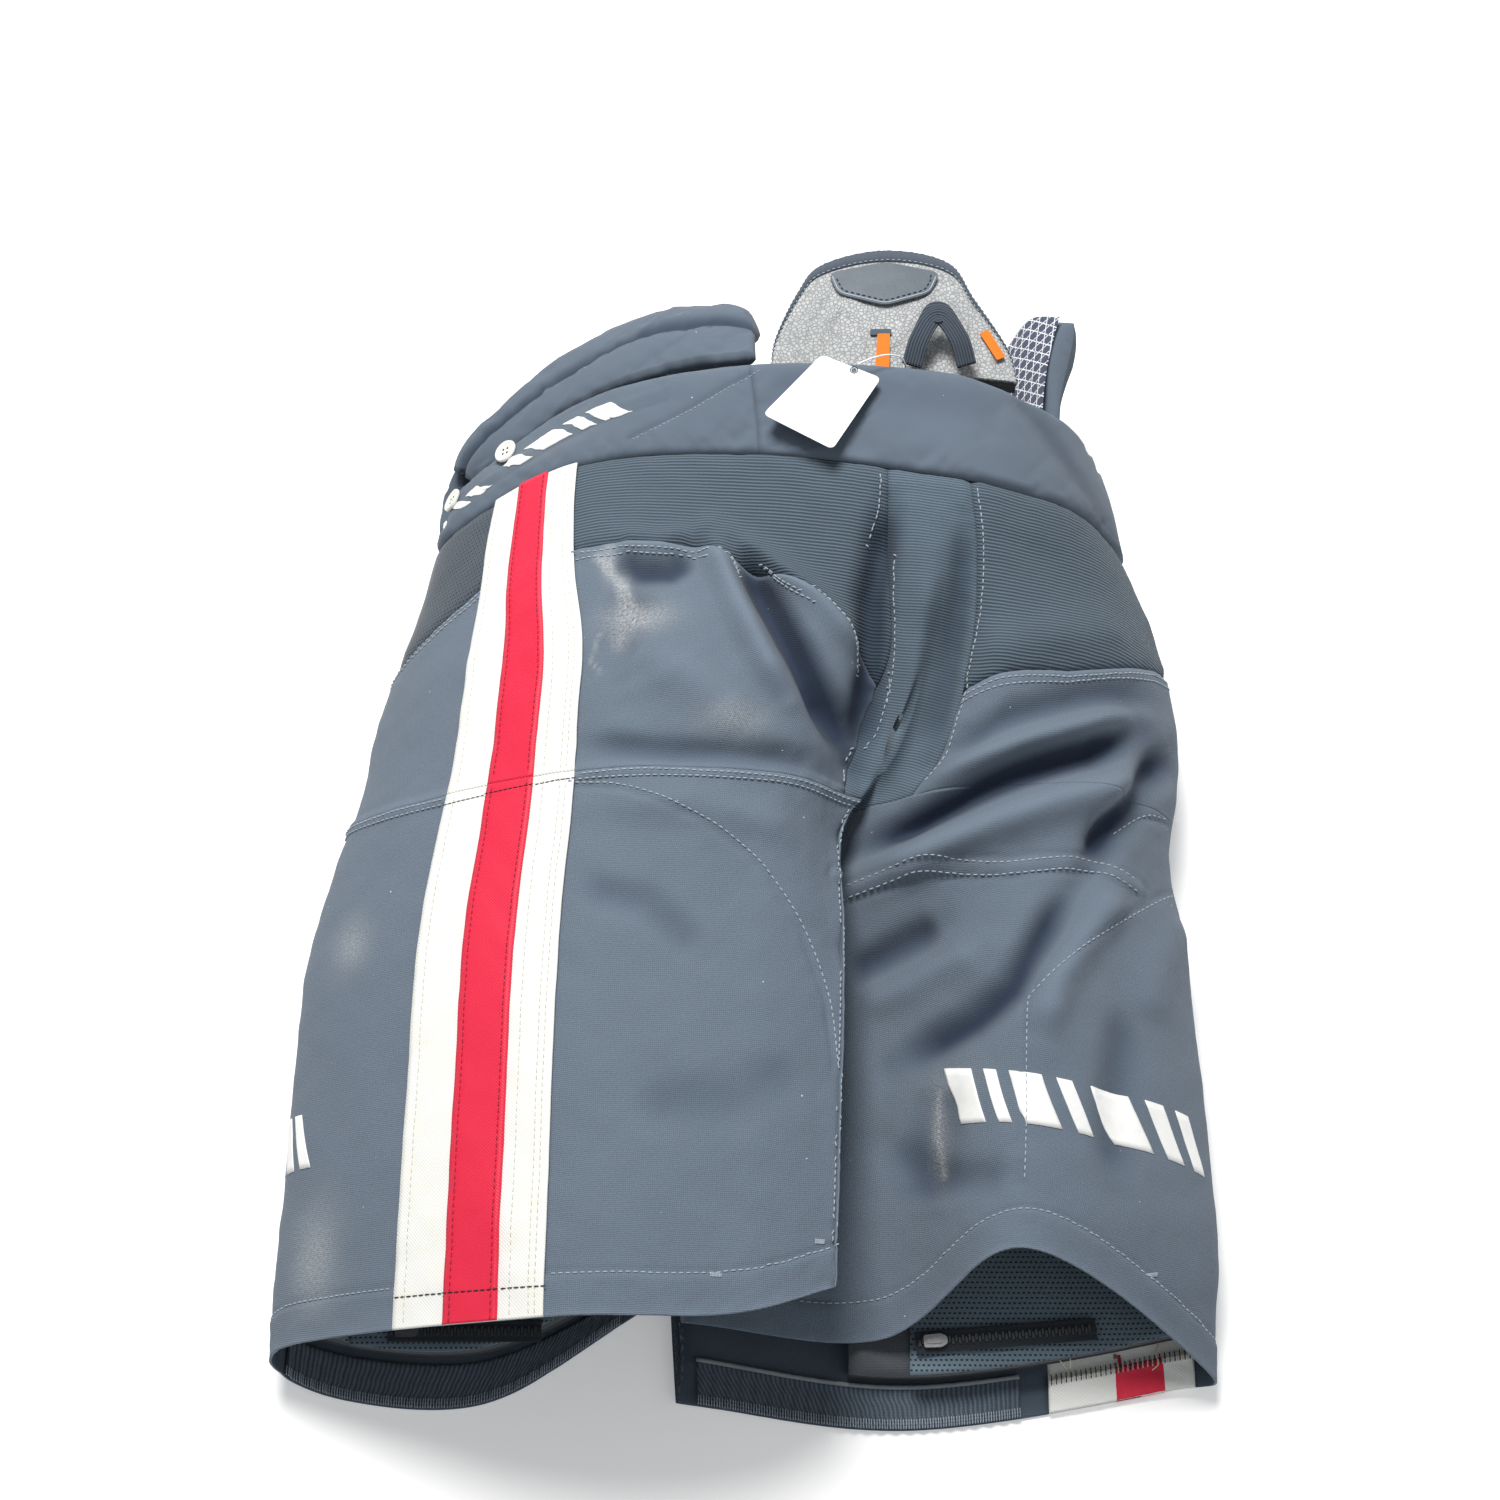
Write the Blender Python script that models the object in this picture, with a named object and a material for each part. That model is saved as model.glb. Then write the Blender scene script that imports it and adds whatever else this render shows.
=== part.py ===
"""Ice hockey pants lying on their front: shell panels, pads, spine guard, stripes, zips and tag.

Metres, +Z up, +X to the wearer's right, +Y towards the waist. The front of the garment rests at z = 0.
Sizes below are in millimetres and are turned into metres by MM.
"""

import math

import bmesh
import bpy
from mathutils import Vector

for old in list(bpy.data.objects):
    bpy.data.objects.remove(old, do_unlink=True)

MM = 0.001
SHIFT = Vector((1.226, -8.623, 0.0))  # moves the middle of the outline onto the origin

# ---- layer thicknesses (mm) ----
SKIN = 2.2  # nylon or knit shell
BAND = 8.0  # padded waistband
BAND_PROUD = 2.0  # how far the band stands above the shell
BELT = 6.5  # front belt
STRIPE = 1.2
STRIPE_GAP = 1.0
PLATE = 2.6  # moulded thigh plate
THIGH_FOAM = 14.0
LINER = 1.6
HIP_FOAM = 11.0
HIP_CAP = 2.0
TAIL_FOAM = 11.0
KIDNEY = 15.0
KIDNEY_LINER = 1.5
GAP = 0.5
EDGE = 0.008  # seam gap in surface units

# ---- size of a surface cell ----
U_STEP = 0.25
V_STEP = 0.5

# ---- the shell ----
# Each row is one girth. The back tables run from centre back to the side, the front tables go on
# from the side to centre front.
# rows: waist edge, band seam, yoke, hip, seat, crotch, upper thigh, thigh, lower thigh, hem
LEFT_BACK = [
    [(92, 230, 150), (0, 234, 148), (-90, 236, 112), (-166, 206, 62)],
    [(93, 165, 148), (5, 180, 142), (-95, 190, 114), (-176, 172, 60)],
    [(94, 122, 136), (0, 130, 132), (-95, 130, 120), (-188, 118, 54)],
    [(92, 72, 106), (20, 75, 134), (-88, 72, 125), (-203, 68, 50)],
    [(72, 20, 86), (15, 20, 127), (-90, 20, 123), (-209, 20, 50)],
    [(50, -20, 86), (8, -20, 118), (-91, -20, 121), (-220, -20, 50)],
    [(50, -80, 92), (0, -80, 116), (-95, -80, 121), (-231, -80, 50)],
    [(47, -160, 97), (-5, -160, 118), (-96, -160, 121), (-233, -160, 48)],
    [(44, -225, 99), (-8, -228, 118), (-96, -228, 121), (-234, -228, 45)],
    [(42, -258, 98), (-10, -274, 116), (-96, -276, 120), (-234, -278, 40)],
]
LEFT_FRONT = [
    [(-140, 235, 14), (-85, 262, 0), (-12, 265, 12)],
    [(-165, 175, 12), (-92, 195, 0), (-18, 200, 11)],
    [(-176, 122, 10), (-95, 128, 0), (-24, 130, 10)],
    [(-188, 68, 6), (-100, 68, 0), (-32, 68, 6)],
    [(-194, 20, 5), (-110, 20, 0), (-44, 20, 4)],
    [(-202, -20, 4), (-120, -20, 0), (-52, -20, 5)],
    [(-212, -80, 3), (-130, -80, 0), (-55, -80, 7)],
    [(-216, -160, 3), (-135, -160, 0), (-57, -160, 8)],
    [(-217, -236, 3), (-137, -240, 0), (-58, -222, 8)],
    [(-217, -296, 3), (-137, -300, 0), (-58, -256, 8)],
]
RIGHT_BACK = [
    [(92, 230, 150), (135, 223, 143), (178, 216, 112), (200, 206, 66)],
    [(93, 165, 148), (140, 158, 142), (188, 158, 108), (212, 155, 58)],
    [(94, 122, 136), (145, 122, 130), (198, 120, 98), (228, 118, 50)],
    [(92, 72, 106), (140, 72, 123), (202, 70, 95), (238, 65, 48)],
    [(72, 20, 86), (128, 20, 114), (196, 20, 94), (236, 20, 46)],
    [(28, -20, 50), (108, -20, 98), (180, -20, 98), (228, -20, 46)],
    [(-24, -80, 23), (76, -80, 58), (150, -80, 98), (232, -80, 46)],
    [(-34, -160, 21), (64, -160, 45), (142, -160, 93), (234, -160, 45)],
    [(-35, -222, 21), (62, -218, 40), (138, -208, 91), (234, -226, 43)],
    [(-35, -262, 20), (66, -272, 28), (134, -238, 90), (230, -286, 24)],
]
RIGHT_FRONT = [
    [(178, 225, 12), (85, 255, 0), (-12, 265, 12)],
    [(190, 168, 10), (95, 190, 0), (-18, 200, 11)],
    [(205, 122, 6), (100, 128, 0), (-24, 130, 10)],
    [(214, 68, 4), (100, 68, 0), (-32, 68, 6)],
    [(214, 20, 3), (100, 20, 0), (-44, 20, 4)],
    [(208, -20, 3), (92, -20, 0), (-42, -20, 5)],
    [(212, -80, 3), (88, -80, 0), (-42, -80, 6)],
    [(213, -160, 3), (85, -160, 0), (-42, -160, 6)],
    [(213, -236, 3), (82, -252, 0), (-42, -236, 6)],
    [(213, -294, 2), (80, -313, 0), (-38, -300, 5)],
]
L, R = -1, 1  # the wearer's left and right half
ROWS = {
    L: [back + front for back, front in zip(LEFT_BACK, LEFT_FRONT)],
    R: [back + front for back, front in zip(RIGHT_BACK, RIGHT_FRONT)],
}
SHARED = 4  # rows down to here meet their mirror half at centre back and centre front

# ---- panel limits on the shell (u across, v down) ----
SIDE = 3.5  # back meets front at the left side
SIDE_R = 3.75  # the right back panels reach round to the stripe
GUSSET_L, GUSSET_R = 0.25, 0.5
STRIPE_U = (2.0, 2.5)
RED_U = (2.17, 2.34)
STRIPE_R_U = (3.75, 4.5)
RED_R_U = (4.0, 4.25)
HIP_CUT, LEG_CUT = 4.49, 4.51  # the shell bends here
YOKE_LEFT = [
    (0.0, 3.3),
    (0.25, 3.3),
    (0.75, 2.5),
    (1.25, 2.05),
    (1.75, 1.95),
    (2.5, 1.9),
    (3.0, 2.35),
    (3.5, 2.5),
]
VENT_EDGE = [(2.5, 1.9), (3.0, 2.35), (3.5, 2.5)]
YOKE_RIGHT = [(0.0, 3.4), (0.5, 3.35), (1.5, 3.15), (2.5, 2.7), (3.5, 2.4)]


def spline(p0, p1, p2, p3, t):
    """Smooth curve from p1 to p2."""
    return 0.5 * (
        2 * p1
        + (p2 - p0) * t
        + (2 * p0 - 5 * p1 + 4 * p2 - p3) * t * t
        + (3 * p1 - p0 - 3 * p2 + p3) * t * t * t
    )


def net_point(side, row, col):
    """A point of the net, with the points just outside it."""
    rows = ROWS[side]
    row = min(max(row, 0), len(rows) - 1)
    if col < 0:
        if row <= SHARED:
            return Vector(ROWS[-side][row][1])
        return 2 * Vector(rows[row][0]) - Vector(rows[row][1])
    if col > 6:
        if row <= SHARED:
            return Vector(ROWS[-side][row][5])
        return 2 * Vector(rows[row][6]) - Vector(rows[row][5])
    return Vector(rows[row][col])


def row_point(side, row, u):
    col = min(max(int(math.floor(u)), 0), 5)
    near = [net_point(side, row, col + k) for k in (-1, 0, 1, 2)]
    return spline(*near, u - col)


def shell(side, u, v):
    """A point of the outer shell. A negative u runs onto the other half past centre back."""
    if u < 0:
        side, u = -side, -u
    row = min(max(int(math.floor(v)), 0), len(ROWS[side]) - 2)
    near = [row_point(side, row + k, u) for k in (-1, 0, 1, 2)]
    if row == 0:
        near[0] = 2 * near[1] - near[2]
    point = spline(*near, v - row)
    point.z = max(point.z, 0.0)
    return point


def outward(surface, a, b, flip):
    step = 0.02
    across = surface(a + step, b) - surface(a - step, b)
    down = surface(a, b + step) - surface(a, b - step)
    return across.cross(down).normalized() * flip


def lattice(low, high, step):
    """Values from low to high that fall on a fixed grid between the ends."""
    values = [low]
    k = math.floor(low / step) + 1
    while k * step < high - 0.25 * step:
        if k * step > low + 0.25 * step:
            values.append(k * step)
        k += 1
    return values + [high]


def at(table, u):
    """Straight-line reading of a table of (u, value)."""
    for (u0, v0), (u1, v1) in zip(table, table[1:]):
        if u <= u1:
            return v0 + (v1 - v0) * max(u - u0, 0.0) / (u1 - u0)
    return table[-1][1]


def material(name, colour, roughness=0.8, metallic=0.0):
    made = bpy.data.materials.new(name)
    made.use_nodes = True
    shader = made.node_tree.nodes["Principled BSDF"]
    shader.inputs["Base Color"].default_value = (*colour, 1.0)
    shader.inputs["Roughness"].default_value = roughness
    shader.inputs["Metallic"].default_value = metallic
    made.diffuse_color = (*colour, 1.0)
    return made


def finish(name, bm, look, origin=None):
    """Links a mesh, given in mm, as one object whose origin is at origin (mm)."""
    pivot = Vector(origin) if origin else Vector((0.0, 0.0, 0.0))
    bmesh.ops.recalc_face_normals(bm, faces=bm.faces)
    for vert in bm.verts:
        vert.co = (vert.co - pivot) * MM
    mesh = bpy.data.meshes.new(name)
    bm.to_mesh(mesh)
    bm.free()
    mesh.materials.append(look)
    obj = bpy.data.objects.new(name, mesh)
    obj.location = (pivot + SHIFT) * MM
    bpy.context.scene.collection.objects.link(obj)
    return obj


def slab(name, outer, inner, look, origin=None):
    """A closed slab between two equal grids of points."""
    bm = bmesh.new()
    rows, cols = len(outer), len(outer[0])
    top = [[bm.verts.new(p) for p in row] for row in outer]
    low = [[bm.verts.new(p) for p in row] for row in inner]
    for i in range(rows - 1):
        for j in range(cols - 1):
            for g in (top, low):
                bm.faces.new((g[i][j], g[i + 1][j], g[i + 1][j + 1]))
                bm.faces.new((g[i][j], g[i + 1][j + 1], g[i][j + 1]))
    for i in range(rows - 1):
        for j in (0, cols - 1):
            bm.faces.new((top[i][j], top[i + 1][j], low[i + 1][j], low[i][j]))
    for j in range(cols - 1):
        for i in (0, rows - 1):
            bm.faces.new((top[i][j], top[i][j + 1], low[i][j + 1], low[i][j]))
    return finish(name, bm, look, origin)


def panel(name, side, u, v, offsets, look):
    """A slab that follows the shell. v limits may be tables over u. Offsets are outward in mm."""
    u_values = lattice(u[0] + EDGE, u[1] - EDGE, U_STEP)
    v_low = v[0] if isinstance(v[0], list) else [(u[0], v[0])]
    v_high = v[1] if isinstance(v[1], list) else [(u[0], v[1])]
    plain = len(v_low) == 1 and len(v_high) == 1
    rows = lattice(v_low[0][1] + EDGE, v_high[0][1] - EDGE, V_STEP)
    count = len(rows) if plain else 6
    outer, inner = [], []
    for a in u_values:
        low, high = at(v_low, abs(a)) + EDGE, at(v_high, abs(a)) - EDGE
        values = rows if plain else [low + (high - low) * k / (count - 1) for k in range(count)]
        outer.append([])
        inner.append([])
        for b in values:
            base = shell(side, a, b)
            normal = outward(lambda p, q: shell(side, p, q), a, b, -side)
            for line, reach in ((outer, offsets[1]), (inner, offsets[0])):
                point = base + normal * reach
                point.z = max(point.z, 0.0) if reach > -SKIN / 2 else point.z
                line[-1].append(point)
    return slab(name, outer, inner, look)


def ruled(name, first, second, bulge, thick, look, steps=4):
    """A slab between two equal lines of points, bowed sideways by bulge (a vector)."""
    outer, inner = [], []
    for a, b in zip(first, second):
        line = []
        for k in range(steps + 1):
            t = k / steps
            line.append(a.lerp(b, t) + Vector(bulge) * math.sin(math.pi * t))
        normal = (b - a).cross(Vector((0, 1, 0))).normalized()
        outer.append(line)
        inner.append([p + normal * thick for p in line])
    return slab(name, outer, inner, look)


def prism(name, outline, low, high, look, origin=None, tilt=None):
    """A plate with this outline (x, y) between heights low and high. tilt(x, y) lifts it."""
    bm = bmesh.new()
    lift = tilt or (lambda x, y: 0.0)
    bottom = [bm.verts.new((x, y, low + lift(x, y))) for x, y in outline]
    top = [bm.verts.new((x, y, high + lift(x, y))) for x, y in outline]
    bm.faces.new(bottom)
    bm.faces.new(top)
    for k in range(len(outline)):
        n = (k + 1) % len(outline)
        bm.faces.new((bottom[k], bottom[n], top[n], top[k]))
    bmesh.ops.triangulate(bm, faces=[f for f in bm.faces if len(f.verts) > 4])
    return finish(name, bm, look, origin)


def perforated(name, x_edges, y_edges, holes, low, high, look):
    """A flat strip cut into cells, with the cells in holes left out."""
    bm = bmesh.new()
    cells = {(i, j) for i in range(len(x_edges) - 1) for j in range(len(y_edges) - 1)} - set(holes)
    verts = {}

    def corner(i, j, k):
        if (i, j, k) not in verts:
            verts[(i, j, k)] = bm.verts.new((x_edges[i], y_edges[j], (low, high)[k]))
        return verts[(i, j, k)]

    borders = {
        (-1, 0): ((0, 0), (0, 1)),
        (1, 0): ((1, 0), (1, 1)),
        (0, -1): ((0, 0), (1, 0)),
        (0, 1): ((0, 1), (1, 1)),
    }
    for i, j in sorted(cells):
        for k in (0, 1):
            around = ((i, j), (i + 1, j), (i + 1, j + 1), (i, j + 1))
            bm.faces.new([corner(*place, k) for place in around])
        for (di, dj), ends in borders.items():
            if (i + di, j + dj) not in cells:
                first, second = [(i + p[0], j + p[1]) for p in ends]
                walls = ((*first, 0), (*second, 0), (*second, 1), (*first, 1))
                bm.faces.new([corner(*place) for place in walls])
    return finish(name, bm, look)


def disc(name, centre, normal, radius, thick, look, sides=16):
    bm = bmesh.new()
    bmesh.ops.create_cone(
        bm, cap_ends=True, segments=sides, radius1=radius, radius2=radius * 0.85, depth=thick
    )
    turn = Vector((0, 0, 1)).rotation_difference(Vector(normal).normalized()).to_matrix().to_4x4()
    bm.transform(turn)
    middle = Vector(centre) + Vector(normal).normalized() * thick / 2
    bmesh.ops.translate(bm, verts=bm.verts, vec=middle)
    return finish(name, bm, look)


def inset(outline, amount):
    """The open outline moved inwards by amount, its first and last points kept on the base line."""
    moved = []
    last = len(outline) - 1
    for k, (x, y) in enumerate(outline):
        before = Vector(outline[max(k - 1, 0)])
        after = Vector(outline[min(k + 1, last)])
        along = (after - before).normalized()
        side = Vector((along.y, -along.x))
        if k in (0, last):
            moved.append((x + (amount if k == 0 else -amount), y))
        else:
            moved.append((x + side.x * amount, y + side.y * amount))
    return moved


def raised_pad(name, base, top, thick, look, side_shift=0.0, steps=5, arch=10.0):
    """A pad from a base line up to a rolled top line."""
    outer, inner = [], []
    for i in range(len(base)):
        near = base[min(i + 1, len(base) - 1)] - base[max(i - 1, 0)]
        outer.append([])
        inner.append([])
        for k in range(steps + 1):
            t = k / steps
            rise = (top[i] - base[i]).normalized()
            normal = near.cross(rise).normalized()
            normal = normal if normal.z > 0 else -normal
            middle = base[i].lerp(top[i], t) + normal * (arch * math.sin(math.pi * t) + side_shift)
            half = 0.5 * thick * math.sqrt(max(1 - max(t - 0.7, 0) ** 2 / 0.1, 0.12))
            outer[-1].append(middle + normal * half)
            inner[-1].append(middle - normal * half)
    return slab(name, outer, inner, look)


NYLON = material("nylon_shell", (0.15, 0.18, 0.22))
NYLON_BAND = material("nylon_band", (0.14, 0.17, 0.21), 0.9)
KNIT = material("stretch_knit", (0.09, 0.12, 0.15), 0.9)
MESH = material("vent_mesh", (0.06, 0.085, 0.11), 0.9)
LINING = material("lining", (0.06, 0.085, 0.11), 0.9)
PRINTED = material("printed_lining", (0.10, 0.12, 0.16), 0.8)
ELASTIC = material("ribbed_elastic", (0.06, 0.085, 0.11), 0.9)
WHITE = material("stripe_white", (0.83, 0.82, 0.77), 0.6)
RED = material("stripe_red", (0.80, 0.04, 0.10), 0.45)
FOAM = material("pad_foam", (0.05, 0.055, 0.06), 0.95)
PLASTIC = material("pad_plastic", (0.04, 0.04, 0.045), 0.4)
GREY = material("guard_face", (0.46, 0.47, 0.47), 0.6)
LEATHER = material("guard_patch", (0.10, 0.12, 0.15), 0.5)
BINDING = material("guard_binding", (0.05, 0.06, 0.07), 0.7)
ORANGE = material("orange_tab", (0.83, 0.20, 0.02), 0.6)
WEBBING = material("webbing", (0.05, 0.07, 0.09), 0.85)
CARD = material("tag_card", (0.85, 0.85, 0.85), 0.6)
STRING = material("tag_string", (0.8, 0.8, 0.8), 0.6)
BUTTON = material("button_plastic", (0.75, 0.74, 0.68), 0.35)
ZIP = material("zip_tape", (0.03, 0.035, 0.04), 0.8)
METAL = material("zip_metal", (0.25, 0.25, 0.26), 0.35, 1.0)

BODY = (-SKIN, 0.0)

# ---- waistband ----
panel("left_hip_band", L, (1.0, 3.25), (0.0, 1.0), (BAND_PROUD - BAND, BAND_PROUD), NYLON_BAND)
panel("back_band", R, (-1.0, 3.5), (0.0, 1.0), (BAND_PROUD - BAND, BAND_PROUD), NYLON_BAND)
panel("front_belt_left", L, (3.75, 6.0), (0.0, 1.0), (-BELT, 0.0), NYLON_BAND)
panel("front_belt_right", R, (3.5, 6.0), (0.0, 1.0), (-BELT, 0.0), NYLON_BAND)

# ---- seat and hips ----
panel("back_yoke_left", L, (GUSSET_L, 2.5), (1.0, YOKE_LEFT), BODY, KNIT)
panel("back_yoke_right", R, (GUSSET_R, SIDE_R), (1.0, YOKE_RIGHT), BODY, KNIT)
panel("centre_gusset", R, (-GUSSET_L, GUSSET_R), (1.0, HIP_CUT), BODY, KNIT)
panel("side_vent_left", L, (2.5, SIDE), (1.0, VENT_EDGE), BODY, MESH)
panel("seat_panel_left", L, (GUSSET_L, SIDE), (YOKE_LEFT, HIP_CUT), BODY, NYLON)
panel("seat_panel_right", R, (GUSSET_R, SIDE_R), (YOKE_RIGHT, HIP_CUT), BODY, NYLON)
panel("front_upper_left", L, (SIDE, 6.0), (1.0, HIP_CUT), BODY, NYLON)
panel("front_upper_right", R, (4.5, 6.0), (1.0, HIP_CUT), BODY, NYLON)

# ---- legs ----
panel("back_panel_left", L, (0.0, SIDE), (LEG_CUT, 9.0), BODY, NYLON)
panel("back_panel_right", R, (0.0, SIDE_R), (LEG_CUT, 9.0), BODY, NYLON)
panel("front_panel_left", L, (SIDE, 6.0), (LEG_CUT, 9.0), BODY, NYLON)
panel("front_panel_right", R, (4.5, 6.0), (LEG_CUT, 9.0), BODY, NYLON)

# ---- side stripes ----
LOW, HIGH = STRIPE_GAP, STRIPE_GAP + STRIPE
RED_LOW, RED_HIGH = HIGH + GAP, HIGH + GAP + STRIPE
panel("stripe_upper_left", L, STRIPE_U, (1.0, HIP_CUT), (LOW, HIGH), WHITE)
panel("stripe_upper_red_left", L, RED_U, (1.0, HIP_CUT), (RED_LOW, RED_HIGH), RED)
panel("stripe_lower_left", L, STRIPE_U, (LEG_CUT, 9.0), (LOW, HIGH), WHITE)
panel("stripe_lower_red_left", L, RED_U, (LEG_CUT, 9.0), (RED_LOW, RED_HIGH), RED)

WHITE_FLUSH = (-SKIN, -1.2)  # the right stripe lies in the shell, not on it
RED_FLUSH = (-0.8, 0.0)
panel("stripe_upper_right", R, STRIPE_R_U, (1.0, HIP_CUT), WHITE_FLUSH, WHITE)
panel("stripe_upper_red_right", R, RED_R_U, (1.0, HIP_CUT), RED_FLUSH, RED)
panel("stripe_lower_right", R, STRIPE_R_U, (LEG_CUT, 9.0), WHITE_FLUSH, WHITE)
panel("stripe_lower_red_right", R, RED_R_U, (LEG_CUT, 9.0), RED_FLUSH, RED)
FOLD_TOP = -SKIN - GAP  # the stripe is turned back under its own hem
panel("stripe_fold_right", R, STRIPE_R_U, (8.7, 9.0), (FOLD_TOP - 1.0, FOLD_TOP), WHITE)

# ---- pads and linings inside the hips ----
UNDER_BAND = BAND_PROUD - BAND - GAP
panel("waist_liner_back", R, (-2.5, 3.0), (0.0, 1.0), (UNDER_BAND - LINER, UNDER_BAND), LINING)
CAP_TOP = -SKIN - 1.5
CAP_BOTTOM = CAP_TOP - HIP_CAP
HIP_V = (1.5, 3.5)
HIP_TOP = CAP_BOTTOM - GAP
for suffix, side in (("left", L), ("right", R)):
    panel("hip_cap_" + suffix, side, (2.25, SIDE), HIP_V, (CAP_BOTTOM, CAP_TOP), PLASTIC)
    panel("hip_pad_" + suffix, side, (2.25, SIDE), HIP_V, (HIP_TOP - HIP_FOAM, HIP_TOP), FOAM)
panel("tailbone_pad", R, (-0.5, 1.0), (1.5, 3.0), (CAP_TOP - TAIL_FOAM, CAP_TOP), FOAM)

# ---- pads and linings inside the thighs ----
PLATE_TOP = -SKIN - GAP
FOAM_TOP = PLATE_TOP - PLATE - GAP
LINER_TOP = FOAM_TOP - THIGH_FOAM - GAP
THIGH_V = (5.0, 8.5)
PLATE_BOTTOM = PLATE_TOP - PLATE
FOAM_BOTTOM = FOAM_TOP - THIGH_FOAM
LINER_BOTTOM = LINER_TOP - LINER
for suffix, side, inner in (("left", L, 5.75), ("right", R, 5.25)):
    panel("thigh_plate_" + suffix, side, (3.75, inner), THIGH_V, (PLATE_BOTTOM, PLATE_TOP), PLASTIC)
    panel("thigh_foam_" + suffix, side, (3.75, inner), THIGH_V, (FOAM_BOTTOM, FOAM_TOP), FOAM)
    panel("leg_liner_" + suffix, side, (3.75, inner - 0.25), THIGH_V, (LINER_BOTTOM, LINER_TOP), MESH)

# ---- inner thigh gussets ----
GUSSET_INSET = 1.5  # sideways gap to the panels it joins
for suffix, side, bow, drop in (("left", L, (0, 0, 3), -4.0), ("right", R, (2, 0, 0), -3.2)):
    lower, upper = [], []
    for v in lattice(LEG_CUT + 0.1, 8.95, V_STEP):
        lower.append(shell(side, 6.0, v) + Vector((GUSSET_INSET, 0, 3.2)))
        upper.append(shell(side, 0.0, v) + Vector((-GUSSET_INSET, 0, drop)))
    ruled("inseam_gusset_" + suffix, lower, upper, bow, 1.2, ELASTIC, 3)

# ---- thigh pocket zips ----
ZIP_Z = 2.6 - LINER_BOTTOM  # just above the thigh liner
ZIP_HALF = 7.0  # half the width of the tape
SLIDER = 12.0
for suffix, start, end in (("left", (-186, -270), (-76, -270)), ("right", (84, -273), (176, -266))):
    start, end = Vector(start), Vector(end)
    along = (end - start).normalized()
    across = Vector((-along.y, along.x)) * ZIP_HALF
    corners = [start - across, end - across, end + across, start + across]
    prism("zip_tape_" + suffix, [tuple(c) for c in corners], ZIP_Z, ZIP_Z + 1.2, ZIP)
    back = start + along * 4
    nose = back + along * SLIDER
    half = across * 0.45
    outline = [tuple(p) for p in (back - half, nose - half * 0.6, nose + half * 0.6, back + half)]
    middle = back + along * SLIDER / 2
    prism("zip_slider_" + suffix, outline, ZIP_Z + 1.6, ZIP_Z + 4.6, METAL, (*middle, ZIP_Z + 3))

# ---- front closure ----
prism("fly_placket", [(-33, 95), (-9, 95), (4, 253), (-28, 253)], 3.4, 5.0, NYLON)
for suffix, x in (("left", -24.0), ("right", -9.0)):
    xs = [x - 5, x - 2, x + 2, x + 5]
    ys = [110, 122, 126, 152, 156, 182, 186, 212, 216, 240]
    perforated("lace_tape_" + suffix, xs, ys, [(1, 1), (1, 3), (1, 5), (1, 7)], 1.2, 2.8, WEBBING)

# ---- pads that stand up from the waist ----
left_base = []
for u in (1.0, 1.4, 1.8, 2.25, 2.75, 3.25, 3.75):
    inward = outward(lambda p, q: shell(L, p, q), u, 0.05, 1) * -15
    left_base.append(shell(L, u, 0.0) + inward + Vector((0, 12, 0)))
left_top = [
    Vector(p)
    for p in (
        (6, 292, 92),
        (-14, 314, 82),
        (-50, 317, 74),
        (-95, 300, 64),
        (-135, 268, 54),
        (-164, 232, 44),
        (-184, 192, 28),
    )
]
raised_pad("kidney_pad_left", left_base, left_top, KIDNEY, NYLON_BAND)
right_base = [Vector(p) for p in ((144, 232, 42), (156, 231, 64), (168, 228, 86))]
right_top = [Vector(p) for p in ((150, 296, 58), (166, 312, 76), (182, 304, 92))]
raised_pad("kidney_pad_right", right_base, right_top, KIDNEY, NYLON_BAND, -9.0, arch=3.0)
raised_pad("kidney_liner_right", right_base, right_top, KIDNEY_LINER, PRINTED, 0.0, arch=3.0)

# ---- suspender buttons on the band ----
BUTTON_RADIUS, BUTTON_THICK, BUTTON_LIFT = 7.0, 3.0, 3.2
for name, u, v in (("suspender_button_rear", 2.5, 0.2), ("suspender_button_side", 2.95, 0.38)):
    normal = outward(lambda p, q: shell(L, p, q), u, v, 1)
    disc(name, shell(L, u, v) + normal * BUTTON_LIFT, normal, BUTTON_RADIUS, BUTTON_THICK, BUTTON)

# ---- spine guard ----
GUARD = [
    (12, 240),
    (14, 268),
    (28, 303),
    (42, 321),
    (78, 330),
    (114, 322),
    (128, 297),
    (146, 262),
    (150, 240),
]
GUARD_Z = 114.0
GUARD_FOAM = 9.0
FACE_Z = GUARD_Z + GUARD_FOAM + GAP  # underside of the moulded face and of the binding
TRIM_Z = FACE_Z + 4.0  # underside of what is sewn onto the face
BINDING_WIDTH = 8.0
HINGE = (82, 238, 118)


def guard_slope(x, y):
    """The guard leans back from the band and is arched across."""
    return -0.05 * (y - 240) - 0.0011 * (x - 82) ** 2


prism("spine_foam", GUARD, GUARD_Z, GUARD_Z + GUARD_FOAM, FOAM, HINGE, guard_slope)
face = inset(GUARD, BINDING_WIDTH + 0.4)
prism("spine_plate", face, FACE_Z, FACE_Z + 3.0, GREY, HINGE, guard_slope)
rim = GUARD + inset(GUARD, BINDING_WIDTH)[::-1]
prism("spine_binding", rim, FACE_Z, FACE_Z + 3.5, BINDING, HINGE, guard_slope)
PATCH = [(45, 312), (50, 297), (77, 288), (103, 297), (109, 312), (78, 319)]
prism("spine_patch", PATCH, TRIM_Z, TRIM_Z + 1.5, LEATHER, HINGE, guard_slope)
INSERT = [(70, 243), (78, 243), (79, 268), (72, 268)]
prism("spine_insert", INSERT, TRIM_Z, TRIM_Z + 1.5, ORANGE, HINGE, guard_slope)
FLAG = [(130, 270), (139, 252), (144, 255), (135, 273)]
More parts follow.
